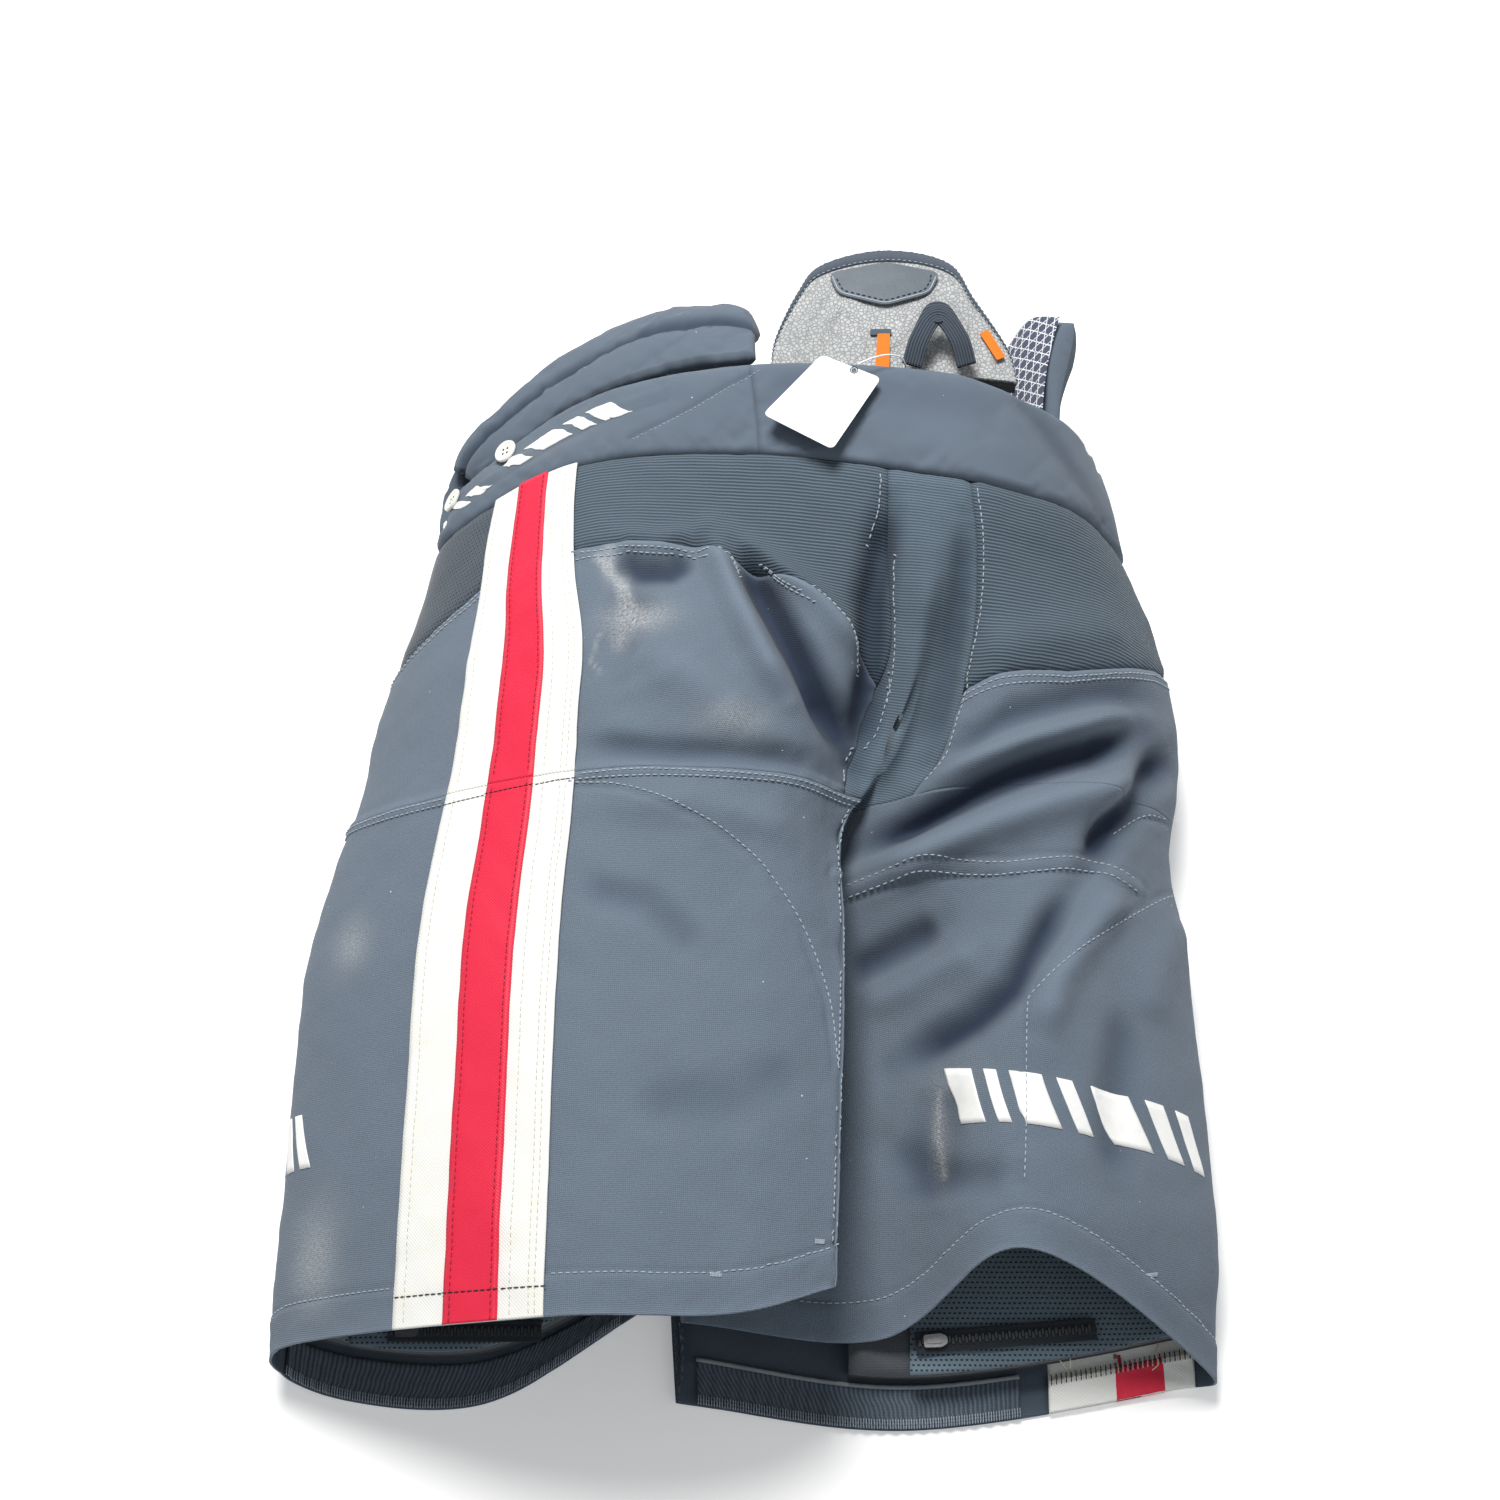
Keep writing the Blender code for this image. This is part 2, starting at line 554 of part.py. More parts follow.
prism("spine_flag", FLAG, TRIM_Z + 0.5, TRIM_Z + 1.5, ORANGE, HINGE, guard_slope)

# ---- hanger loop: a strap bent into an upturned V ----
LOOP_HINGE = (105, 243, 133)
LOOP_HALF = 5.5
LOOP_THICK = Vector((0, 0, 0.9))
loop = [(90, 243, 133), (95, 257, 140), (105, 271, 143), (116, 257, 140), (121, 243, 133)]
loop = [Vector(p) for p in loop]
outer, inner = [], []
for k, point in enumerate(loop):
    along = (loop[min(k + 1, 4)] - loop[max(k - 1, 0)]).normalized()
    half = 8.0 if k == 2 else LOOP_HALF  # the strap is folded over itself at the tip
    across = Vector((-along.y, along.x, 0)).normalized() * half
    outer.append([point - across + LOOP_THICK, point + across + LOOP_THICK])
    inner.append([point - across - LOOP_THICK, point + across - LOOP_THICK])
slab("hanger_loop", outer, inner, WEBBING, LOOP_HINGE)

# ---- hang tag and its string ----
TAG = [(39, 232), (71, 217), (44, 172), (7, 194)]
TAG_Z, TAG_THICK = 159.0, 0.6
prism("hang_tag", TAG, TAG_Z, TAG_Z + TAG_THICK, CARD, (55, 224.5, 159.3))
STRING_ROUTE = [
    (58.5, 225.0, 160.4),
    (61.0, 226.3, 160.9),
    (63.8, 227.6, 161.0),
    (66.6, 228.9, 160.9),
    (69.4, 230.1, 160.5),
    (72.2, 231.3, 159.8),
    (75.0, 232.4, 158.7),
    (77.6, 233.4, 157.2),
    (80.0, 234.2, 155.3),
    (82.0, 234.9, 153.1),
    (83.6, 235.3, 150.7),
    (84.7, 235.5, 148.2),
    (85.4, 235.5, 145.8),
    (85.8, 235.3, 143.6),
    (86.0, 235.0, 141.5),
]
curve = bpy.data.curves.new("tag_string", "CURVE")
curve.dimensions = "3D"
curve.bevel_depth = 0.5 * MM
curve.bevel_resolution = 2
curve.use_fill_caps = True
line = curve.splines.new("POLY")
line.points.add(len(STRING_ROUTE) - 1)
for point, place in zip(line.points, STRING_ROUTE):
    point.co = (*((Vector(place) + SHIFT) * MM), 1.0)
curve.materials.append(STRING)
bpy.context.scene.collection.objects.link(bpy.data.objects.new("tag_string", curve))

# ---- each leg turns on its hip: its pieces hang from an empty on that axis ----
HIP_HINGE = {"left": (-150, 0, 12), "right": (150, 0, 12)}
LEG_PIECES = (
    "back_panel",
    "front_panel",
    "stripe_lower",
    "stripe_lower_red",
    "thigh_plate",
    "thigh_foam",
    "leg_liner",
    "inseam_gusset",
    "zip_tape",
    "zip_slider",
)
for suffix, place in HIP_HINGE.items():
    hip = bpy.data.objects.new("hip_hinge_" + suffix, None)
    hip.location = (Vector(place) + SHIFT) * MM
    bpy.context.scene.collection.objects.link(hip)
    names = [piece + "_" + suffix for piece in LEG_PIECES]
    if suffix == "right":
        names.append("stripe_fold_right")
    for name in names:
        piece = bpy.data.objects[name]
        piece.parent = hip
        piece.location -= hip.location
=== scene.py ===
"""Looks of the ice hockey pants: cloth panels with folds and seams, stitching, pads, spine guard, tag.

Lengths are in millimetres in the garment's own layout, and MM turns them into metres. A place on the shell
is (side, u, v): u runs from centre back (0) round the side to centre front (6), v from the waist (0) to the
hem (9).
"""

import math

import bmesh
import bpy
import numpy as np
from mathutils import Matrix, Vector
from mathutils.bvhtree import BVHTree


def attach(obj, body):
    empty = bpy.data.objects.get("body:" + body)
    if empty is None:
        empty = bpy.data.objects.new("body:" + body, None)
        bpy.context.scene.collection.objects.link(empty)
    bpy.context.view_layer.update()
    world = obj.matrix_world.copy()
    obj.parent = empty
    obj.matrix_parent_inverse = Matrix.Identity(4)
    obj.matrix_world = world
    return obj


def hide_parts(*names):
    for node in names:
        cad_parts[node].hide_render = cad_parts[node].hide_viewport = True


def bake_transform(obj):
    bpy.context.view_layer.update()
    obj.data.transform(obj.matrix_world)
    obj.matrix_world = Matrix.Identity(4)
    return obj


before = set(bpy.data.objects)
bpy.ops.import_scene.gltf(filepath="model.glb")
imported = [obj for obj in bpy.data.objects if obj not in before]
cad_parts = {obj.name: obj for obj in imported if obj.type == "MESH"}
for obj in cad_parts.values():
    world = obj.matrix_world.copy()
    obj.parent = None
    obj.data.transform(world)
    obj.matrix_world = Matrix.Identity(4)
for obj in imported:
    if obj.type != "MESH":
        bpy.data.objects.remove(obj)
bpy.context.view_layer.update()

MM = 0.001
SHIFT = np.array([1.226, -8.623, 0.0])  # from the layout to the frame
L, R = -1, 1

# ---------------------------------------------------------------- outer surface of the garment
# rows: waist edge, band seam, yoke, hip, seat, crotch, upper thigh, thigh, lower thigh, hem
# the back tables run from centre back to the side, the front tables on from there to centre front
LEFT_BACK = [
    [(92, 230, 150), (0, 234, 148), (-90, 236, 112), (-166, 206, 62)],
    [(93, 165, 148), (5, 180, 142), (-95, 190, 114), (-176, 172, 60)],
    [(94, 122, 136), (0, 130, 132), (-95, 130, 120), (-188, 118, 54)],
    [(92, 72, 106), (20, 75, 134), (-88, 72, 125), (-203, 68, 50)],
    [(72, 20, 86), (15, 20, 127), (-90, 20, 123), (-209, 20, 50)],
    [(50, -20, 86), (8, -20, 118), (-91, -20, 121), (-220, -20, 50)],
    [(50, -80, 92), (0, -80, 116), (-95, -80, 121), (-231, -80, 50)],
    [(47, -160, 97), (-5, -160, 118), (-96, -160, 121), (-233, -160, 48)],
    [(44, -225, 99), (-8, -228, 118), (-96, -228, 121), (-234, -228, 45)],
    [(42, -258, 98), (-10, -274, 116), (-96, -276, 120), (-234, -278, 40)],
]
LEFT_FRONT = [
    [(-140, 235, 14), (-85, 262, 0), (-12, 265, 12)],
    [(-165, 175, 12), (-92, 195, 0), (-18, 200, 11)],
    [(-176, 122, 10), (-95, 128, 0), (-24, 130, 10)],
    [(-188, 68, 6), (-100, 68, 0), (-32, 68, 6)],
    [(-194, 20, 5), (-110, 20, 0), (-44, 20, 4)],
    [(-202, -20, 4), (-120, -20, 0), (-52, -20, 5)],
    [(-212, -80, 3), (-130, -80, 0), (-55, -80, 7)],
    [(-216, -160, 3), (-135, -160, 0), (-57, -160, 8)],
    [(-217, -236, 3), (-137, -240, 0), (-58, -222, 8)],
    [(-217, -296, 3), (-137, -300, 0), (-58, -256, 8)],
]
RIGHT_BACK = [
    [(92, 230, 150), (135, 223, 143), (178, 216, 112), (200, 206, 66)],
    [(93, 165, 148), (140, 158, 142), (188, 158, 108), (212, 155, 58)],
    [(94, 122, 136), (145, 122, 130), (198, 120, 98), (228, 118, 50)],
    [(92, 72, 106), (140, 72, 123), (202, 70, 95), (238, 65, 48)],
    [(72, 20, 86), (128, 20, 114), (196, 20, 94), (236, 20, 46)],
    [(28, -20, 50), (108, -20, 98), (180, -20, 98), (228, -20, 46)],
    [(-24, -80, 23), (76, -80, 58), (150, -80, 98), (232, -80, 46)],
    [(-34, -160, 21), (64, -160, 45), (142, -160, 93), (234, -160, 45)],
    [(-35, -222, 21), (62, -218, 40), (138, -208, 91), (234, -226, 43)],
    [(-35, -262, 20), (66, -272, 28), (134, -238, 90), (230, -286, 24)],
]
RIGHT_FRONT = [
    [(178, 225, 12), (85, 255, 0), (-12, 265, 12)],
    [(190, 168, 10), (95, 190, 0), (-18, 200, 11)],
    [(205, 122, 6), (100, 128, 0), (-24, 130, 10)],
    [(214, 68, 4), (100, 68, 0), (-32, 68, 6)],
    [(214, 20, 3), (100, 20, 0), (-44, 20, 4)],
    [(208, -20, 3), (92, -20, 0), (-42, -20, 5)],
    [(212, -80, 3), (88, -80, 0), (-42, -80, 6)],
    [(213, -160, 3), (85, -160, 0), (-42, -160, 6)],
    [(213, -236, 3), (82, -252, 0), (-42, -236, 6)],
    [(213, -294, 2), (80, -313, 0), (-38, -300, 5)],
]
LEFT_ROWS = [back + front for back, front in zip(LEFT_BACK, LEFT_FRONT)]
RIGHT_ROWS = [back + front for back, front in zip(RIGHT_BACK, RIGHT_FRONT)]
SHARED = 4  # rows down to here meet their mirror half at centre back and centre front
SIDE = 3.5
GUSSET_L, GUSSET_R = 0.25, 0.5
SEAT = 4.5  # the shell bends here, between the waist and the legs
SIDE_R = 3.75
STRIPE_U, RED_U = (2.0, 2.5), (2.17, 2.34)
STRIPE_R_U, RED_R_U = (3.75, 4.5), (4.0, 4.25)
YOKE_LEFT = [
    (0.0, 3.3), (0.25, 3.3), (0.75, 2.5), (1.25, 2.05), (1.75, 1.95), (2.5, 1.9), (3.0, 2.35), (3.5, 2.5)
]
YOKE_RIGHT = [(0.0, 3.4), (0.5, 3.35), (1.5, 3.15), (2.5, 2.7), (3.5, 2.4)]
VENT_EDGE = [(2.5, 1.9), (3.0, 2.35), (3.5, 2.5)]


def full_net(side):
    """The net with one more point at each end of every row, for the curve's slope there."""
    own, other = (LEFT_ROWS, RIGHT_ROWS) if side == L else (RIGHT_ROWS, LEFT_ROWS)
    rows = []
    for k, row in enumerate(own):
        row = [np.array(p, float) for p in row]
        before = np.array(other[k][1], float) if k <= SHARED else 2 * row[0] - row[1]
        after = np.array(other[k][5], float) if k <= SHARED else 2 * row[6] - row[5]
        rows.append([before, *row, after])
    return np.array(rows)


NET = {L: full_net(L), R: full_net(R)}


def weights(t):
    """Shares of four neighbouring points in a smooth curve between the middle two."""
    return 0.5 * np.array(
        [-t + 2 * t**2 - t**3, 2 - 5 * t**2 + 3 * t**3, t + 4 * t**2 - 3 * t**3, -(t**2) + t**3]
    )


def shell(side, u, v):
    """Points of the outer surface for arrays u and v of one shape. A negative u is on the other half."""
    u, v = np.broadcast_arrays(np.asarray(u, float), np.asarray(v, float))
    out = np.empty(u.shape + (3,))
    for half, chosen in ((side, u >= 0), (-side, u < 0)):
        if not chosen.any():
            continue
        a, b = np.abs(u[chosen]), v[chosen]
        net = NET[half]
        last = len(net) - 1
        col = np.clip(np.floor(a).astype(int), 0, 5)
        row = np.clip(np.floor(b).astype(int), 0, last - 1)
        wu, wv = weights(a - col), weights(b - row)
        total = 0
        for j in range(4):
            at_row = row + j - 1
            inside = np.clip(at_row, 0, last)
            line = sum(wu[i][:, None] * net[inside, col + i] for i in range(4))
            ahead = sum(wu[i][:, None] * (2 * net[0, col + i] - net[1, col + i]) for i in range(4))
            line = np.where((at_row < 0)[:, None], ahead, line)
            total = total + wv[j][:, None] * line
        out[chosen] = total
    out[..., 2] = np.maximum(out[..., 2], 0.0)
    return out


def at(table, u):
    if not isinstance(table, list):
        return np.full(np.shape(u), float(table))
    return np.interp(np.abs(u), [p[0] for p in table], [p[1] for p in table])


# ---------------------------------------------------------------- folds
def noise(points, scale, seed):
    """Smooth repeatable noise from -1 to 1: three waves in fixed directions for each of four octaves."""
    rng = np.random.default_rng(seed)
    total = np.zeros(points.shape[:-1])
    for octave in range(4):
        for _ in range(3):
            direction = rng.normal(size=3)
            direction /= np.linalg.norm(direction)
            phase = rng.uniform(0, 2 * math.pi)
            wave = points @ direction * (2 * math.pi / scale) * 1.9**octave + phase
            bend = np.sin(points @ rng.normal(size=3) * (1.7 / scale) + rng.uniform(0, 6.3))
            total += np.sin(wave + 1.8 * bend) / 3 / 1.8**octave
    return total / 1.9


def from_line(xy, line):
    """Distance from points to a polyline, and how far along it the nearest place is, 0 to 1."""
    best = np.full(xy.shape[:-1], 1e9)
    where = np.zeros(xy.shape[:-1])
    line = np.array(line, float)
    lengths = np.linalg.norm(np.diff(line, axis=0), axis=1)
    start = 0.0
    for a, b, length in zip(line, line[1:], lengths):
        t = np.clip(((xy - a) @ (b - a)) / length**2, 0, 1)
        gap = np.linalg.norm(xy - (a + t[..., None] * (b - a)), axis=-1)
        nearer = gap < best
        best = np.where(nearer, gap, best)
        where = np.where(nearer, (start + t * length) / lengths.sum(), where)
        start += length
    return best, where


# name: (route seen from above, half width, height). A negative height is a valley.
FOLDS = {
    "left_peak": ([(-22, 138), (-15, 116), (-6, 90), (6, 62), (20, 38)], 8, 9),
    "left_peak_edge": ([(-20, 141), (-2, 128), (29, 103), (62, 68)], 7, 6),
    "left_deep": ([(-6, 128), (8, 100), (22, 72), (38, 44), (54, 18)], 8, -16),
    "left_dip": ([(-74, 124), (-58, 116), (-43, 115), (-31, 124)], 8, -7),
    "left_seam_hump": ([(-72, 138), (-50, 132), (-30, 138)], 7, 3),
    "left_hollow": ([(-60, 104), (-66, 72), (-56, 42)], 13, -4),
    "left_seat_roll": ([(-74, 62), (-34, 52), (0, 22)], 14, 4),
    "left_seam_dip": ([(-92, 16), (-40, 9), (40, 8)], 7, -4),
    "left_knee_roll": ([(-84, -18), (-30, -16), (30, -30)], 11, 3),
    "left_knee_crease": ([(-88, -62), (-50, -72), (-22, -98)], 9, -2.5),
    "left_thigh_crease": ([(30, -150), (-10, -172), (-60, -176)], 13, -2),
    "gusset_deep": ([(74, 150), (66, 100), (68, 62), (60, 16)], 9, -11),
    "gusset_ridge": ([(98, 122), (90, 82), (80, 43), (64, 4)], 8, 6),
    "gusset_side": ([(116, 140), (112, 100), (104, 60), (92, 20)], 7, -5),
    "right_seat_roll": ([(118, 66), (156, 78), (210, 96)], 12, 4),
    "right_crease_high": ([(96, 14), (140, 34), (190, 54), (228, 66)], 9, -5),
    "right_ridge_high": ([(88, 2), (120, 14), (160, 28), (212, 50)], 8, 6),
    "right_valley": ([(54, -22), (83, -16), (109, -8), (143, 6), (180, 21), (214, 42)], 8, -13),
    "right_ridge": ([(58, -38), (100, -27), (148, -14), (190, 0), (228, 22)], 10, 8),
    "right_pinch": ([(236, 40), (212, 12), (190, -18), (176, -42)], 8, -11),
    "right_second_ridge": ([(196, -46), (172, -78), (156, -102), (146, -136)], 10, 7),
    "right_second_valley": ([(74, -136), (112, -120), (132, -107), (152, -80), (168, -56)], 9, -8),
    "right_low_valley": ([(50, -86), (74, -76), (100, -66)], 8, -6),
    "right_low_ridge": ([(56, -104), (90, -94), (122, -82)], 9, 4),
    "right_side_roll": ([(232, -50), (214, -84), (204, -120)], 12, 4),
    "right_side_dip": ([(196, -110), (184, -160), (182, -206)], 11, -4),
    "right_long_dip": ([(100, -150), (92, -180), (88, -214)], 12, -4),
    "right_edge_crease": ([(70, -176), (92, -196), (130, -204)], 9, -3),
}


FOLD_GAIN = 1.15


def fold_height(points, normal):
    """How far the folds push each point out, on the faces that look up."""
    xy = points[..., :2]
    total = np.zeros(points.shape[:-1])
    for line, width, height in FOLDS.values():
        gap, along = from_line(xy, line)
        fade = np.clip(np.minimum(along, 1 - along) * 5, 0, 1)
        fade = 0.25 + 0.75 * fade * fade * (3 - 2 * fade)
        total += height * np.exp(-((gap / width) ** 2)) * fade
    facing = np.clip((normal[..., 2] - 0.1) * 2.5, 0, 1)
    return FOLD_GAIN * total * facing


# name: (centre seen from above, reach across x and y, strength) of chalky rub marks
SCUFFS = {
    "seat_patch": ((-60, 86), (17, 9), 1.0),
    "seat_streak": ((-76, 124), (3.5, 12), 0.9),
    "seat_streak_low": ((-68, 104), (3.5, 12), 0.9),
    "seat_low": ((-8, 26), (16, 9), 0.5),
    "hip_spot": ((-69, 73), (5, 7), 0.6),
    "outer_knee": ((-210, -74), (10, 14), 0.6),
    "outer_hem": ((-218, -236), (12, 24), 0.7),
    "right_edge": ((97, -176), (5, 22), 0.6),
    "right_mid": ((104, -150), (14, 10), 0.25),
    "band_left": ((-120, 206), (26, 8), 0.25),
}


# name: (route seen from above, half width, strength) of thin chalky streaks
STREAKS = {
    "seat_streak": ([(-82, 126), (-76, 118), (-68, 104), (-62, 92)], 2.6, 1.0),
    "seat_edge": ([(-80, 78), (-84, 62), (-78, 54)], 1.0, 0.5),
    "seat_top": ([(-24, 140), (-14, 140), (-2, 130)], 1.2, 0.5),
    "arm_edge": ([(97, -154), (96, -176), (99, -196)], 1.4, 0.6),
}


def dust_at(points):
    total = np.zeros(points.shape[:-1])
    for route, width, strength in STREAKS.values():
        gap, _ = from_line(points[..., :2], route)
        total += strength * np.exp(-((gap / width) ** 2))
    for (x, y), (rx, ry), strength in SCUFFS.values():
        spot = ((points[..., 0] - x) / rx) ** 2 + ((points[..., 1] - y) / ry) ** 2
        total += strength * np.exp(-spot)
    return np.clip(total, 0, 1)


# ---------------------------------------------------------------- materials
class Nodes:
    """A few short calls for building a shader."""

    def __init__(self, name, roughness, specular=0.3, sheen=0.0):
        self.material = bpy.data.materials.new(name)
        self.material.use_nodes = True
        self.tree = self.material.node_tree
        self.shader = self.tree.nodes["Principled BSDF"]
        self.shader.inputs["Roughness"].default_value = roughness
        self.shader.inputs["Specular IOR Level"].default_value = specular
        self.shader.inputs["Sheen Weight"].default_value = sheen
        self.shader.inputs["Sheen Roughness"].default_value = 0.6

    def add(self, kind, inputs=None, **settings):
        node = self.tree.nodes.new(kind)
        for key, value in settings.items():
            setattr(node, key, value)
        for key, value in (inputs or {}).items():
            if isinstance(value, bpy.types.NodeSocket):
                self.tree.links.new(value, node.inputs[key])
            else:
                node.inputs[key].default_value = value
        return node

    def math(self, operation, a, b=0.5):
        return self.add("ShaderNodeMath", {0: a, 1: b}, operation=operation).outputs[0]

    def plus(self, a, b):
        return self.math("ADD", a, b)

    def times(self, a, b):
        return self.math("MULTIPLY", a, b)

    def attribute(self, name):
        return self.add("ShaderNodeAttribute", attribute_name=name)

    def mix(self, factor, a, b):
        node = self.add("ShaderNodeMix", {"Factor": factor, "A": a, "B": b}, data_type="RGBA")
        return node.outputs["Result"]

    def noise(self, vector, scale, detail=3.0, roughness=0.55):
        made = self.add(
            "ShaderNodeTexNoise",
            {"Vector": vector, "Scale": scale, "Detail": detail, "Roughness": roughness}
        )
        return made.outputs["Fac"]

    def wave(self, vector, scale, direction, distortion):
        made = self.add(
            "ShaderNodeTexWave",
            {"Vector": vector, "Scale": scale, "Distortion": distortion, "Detail": 2.0, "Detail Scale": 1.5},
            wave_type="BANDS",
            bands_direction=direction,
            wave_profile="SIN",
        )
        return made.outputs["Fac"]

    def ramp(self, value, low, high):
        return self.add(
            "ShaderNodeMapRange", {"Value": value, "From Min": low, "From Max": high}, clamp=True
        ).outputs["Result"]

    def paint_valley_shade(self, body, colour, full, share, gains):
        """Painted shade: the body colour made deep and cool in the valleys of folds."""
        valley = self.ramp(self.times(self.attribute("fold").outputs["Fac"], -1.0), 0.05, full)
        return self.mix(self.times(valley, share), body, (*[c * g for c, g in zip(colour, gains)], 1.0))

    def finish(self, colour, height=None, bump=0.4, distance=0.0004, rough=None):
        self.tree.links.new(colour, self.shader.inputs["Base Color"])
        if height is not None:
            made = self.add("ShaderNodeBump", {"Height": height, "Strength": bump, "Distance": distance})
            self.tree.links.new(made.outputs["Normal"], self.shader.inputs["Normal"])
        if rough is not None:
            self.tree.links.new(rough, self.shader.inputs["Roughness"])
        return self.material


WAVE = math.pi / 10  # wave texture scale that gives a period of one unit
CLOTH_SHEEN = 0.08
HOLE_PITCH = 2.6


def rgba(colour, gain=1.0):
    return (*[min(c * gain, 1.0) for c in colour], 1.0)


def woven(name, colour, pitch, contrast, dust=0.0, roughness=0.85, bump=0.5, lint=0.0):
    """Plain weave: over and under threads, a mottled tone, chalk marks, painted shade in the fold valleys
    and painted highlight on the fold ridges.
    """
    n = Nodes(name, roughness, 0.2, CLOTH_SHEEN)
    cloth = n.attribute("weave").outputs["Vector"]
    over = n.wave(cloth, WAVE / pitch, "X", 0.6)
    under = n.wave(cloth, WAVE / pitch, "Y", 0.6)
    weave = n.times(over, under)
    fleck = n.noise(cloth, 0.9 / pitch, 2.0, 0.7)
    tone = n.noise(cloth, 0.03, 4.0)
    grain = n.plus(n.times(weave, 0.45), n.times(fleck, 0.55))
    spread = 0.175 / contrast
    grain = n.ramp(grain, 0.5 - spread, 0.5 + spread)
    body = n.mix(grain, rgba(colour, 0.70), rgba(colour, 1.32))
    body = n.mix(n.times(n.ramp(tone, 0.35, 0.7), 0.16), body, rgba(colour, 0.72))
    # painted shade in the fold valleys
    body = n.paint_valley_shade(body, colour, 0.95, 0.88, (0.07, 0.12, 0.22))
    # painted highlight on the fold ridges
    ridge_highlight = n.ramp(n.attribute("fold").outputs["Fac"], 0.2, 0.9)
    body = n.mix(n.times(ridge_highlight, 0.22), body, rgba(colour, 1.5))
    edge = n.attribute("edge").outputs["Fac"]
    body = n.mix(n.times(edge, 0.35), body, rgba(colour, 1.55))
    if dust:
        mark = n.attribute("dust").outputs["Fac"]
        broken = n.ramp(n.noise(cloth, 0.7, 6.0, 0.85), 0.36, 0.74)
        body = n.mix(n.times(n.times(mark, broken), dust), body, (0.62, 0.62, 0.6, 1))
    if lint:
        speck = n.add(
            "ShaderNodeTexVoronoi", {"Vector": cloth, "Scale": 0.055}, feature="F1"
        ).outputs["Distance"]
        speck = n.math("LESS_THAN", speck, 0.028)
        body = n.mix(n.times(speck, lint), body, (0.7, 0.7, 0.68, 1))
    rough = n.add(
        "ShaderNodeMapRange", {"Value": fleck, "To Min": roughness - 0.12, "To Max": roughness + 0.1}
    )
    return n.finish(body, n.plus(weave, n.times(fleck, 0.6)), bump, 0.0005, rough.outputs["Result"])


def ribbed(name, colour, pitch, along="Y", depth=0.55, mottled=0.3):
    """Ribs that run across the cloth, with small knit loops on them, and painted shade in the fold valleys.
    """
    n = Nodes(name, 0.9, 0.15, CLOTH_SHEEN)
    cloth = n.attribute("weave").outputs["Vector"]
    rib = n.wave(cloth, WAVE / pitch, along, 0.5)
    loop = n.wave(cloth, WAVE / (pitch * 0.55), "X" if along == "Y" else "Y", 0.8)
    fleck = n.noise(cloth, 0.8, 3.0, 0.7)
    rib_tone = n.plus(n.times(rib, 0.7), n.times(fleck, mottled))
    body = n.mix(n.ramp(rib_tone, 0.1, 0.95), rgba(colour, 0.42), rgba(colour, 1.45))
    # painted shade in the fold valleys
    body = n.paint_valley_shade(body, colour, 0.9, 0.8, (0.10, 0.16, 0.26))
    tone = n.ramp(n.noise(cloth, 0.025, 3.0), 0.3, 0.7)
    body = n.mix(n.times(tone, 0.35), body, rgba(colour, 0.75))
    height = n.plus(rib, n.times(loop, 0.22))
    return n.finish(body, height, depth, 0.0009)


def perforated_knit(name, colour):
    """Sports mesh: rows of small round holes, painted near black as painted shade seen through them; each
    row set half a step on.
    """
    n = Nodes(name, 0.85, 0.2, 0.2)
    cloth = n.attribute("weave").outputs["Vector"]
    split = n.add("ShaderNodeSeparateXYZ", {0: cloth})
    row = n.math("FLOOR", n.math("DIVIDE", split.outputs["Y"], HOLE_PITCH))
    stagger = n.times(n.math("MODULO", row, 2.0), HOLE_PITCH * 0.5)
    x = n.plus(split.outputs["X"], stagger)
    fx = n.math("SUBTRACT", n.math("FRACT", n.math("DIVIDE", x, HOLE_PITCH)), 0.5)
    fy = n.math("SUBTRACT", n.math("FRACT", n.math("DIVIDE", split.outputs["Y"], HOLE_PITCH)), 0.5)
    away = n.math("SQRT", n.plus(n.times(fx, fx), n.times(n.times(fy, fy), 1.8)))
    hole = n.ramp(away, 0.20, 0.32)
    fleck = n.noise(cloth, 1.1, 3.0)
    body = n.mix(fleck, rgba(colour, 0.8), rgba(colour, 1.25))
    # painted shade in the holes
    body = n.mix(hole, rgba(colour, 0.12), body)
    return n.finish(body, n.plus(hole, n.times(fleck, 0.2)), 0.7, 0.0009)


def twill(name, colour, dark, pitch=0.9, roughness=0.6, sheen=0.15, yellow=None):
    """Stripe tape: fine diagonal ribs and a little soiling."""
    n = Nodes(name, roughness, 0.35, sheen)
    cloth = n.attribute("weave").outputs["Vector"]
    rib = n.wave(cloth, WAVE / pitch, "DIAGONAL", 0.4)
    fleck = n.noise(cloth, 1.4, 3.0, 0.7)
    soil = n.ramp(n.noise(cloth, 0.035, 5.0, 0.7), 0.45, 0.8)
    body = n.mix(n.times(rib, 0.5), rgba(colour), rgba(dark))
    body = n.mix(n.times(fleck, 0.25), body, rgba(dark))
    if yellow:
        edge = n.attribute("edge").outputs["Fac"]
        body = n.mix(n.times(n.plus(soil, edge), 0.5), body, rgba(yellow))
    return n.finish(body, n.plus(rib, fleck), 0.25, 0.0004)


def plain_object(name, colour, roughness, scale=900.0, depth=0.15, metallic=0.0, spread=0.15):
    """Moulded, carded or metal surfaces: a fine grain, uneven tone and rubbed places."""
    n = Nodes(name, roughness, 0.4)
    n.shader.inputs["Metallic"].default_value = metallic
    place = n.add("ShaderNodeTexCoord").outputs["Object"]
    fine = n.noise(place, scale, 4.0, 0.6)
    wide = n.ramp(n.noise(place, scale * 0.08, 4.0, 0.7), 0.3, 0.75)
    body = n.mix(wide, rgba(colour, 1 - spread), rgba(colour, 1 + spread))
    rough = n.add(
        "ShaderNodeMapRange", {"Value": fine, "To Min": roughness - 0.1, "To Max": roughness + 0.12}
    )
    return n.finish(body, fine, depth, 0.0003, rough.outputs["Result"])


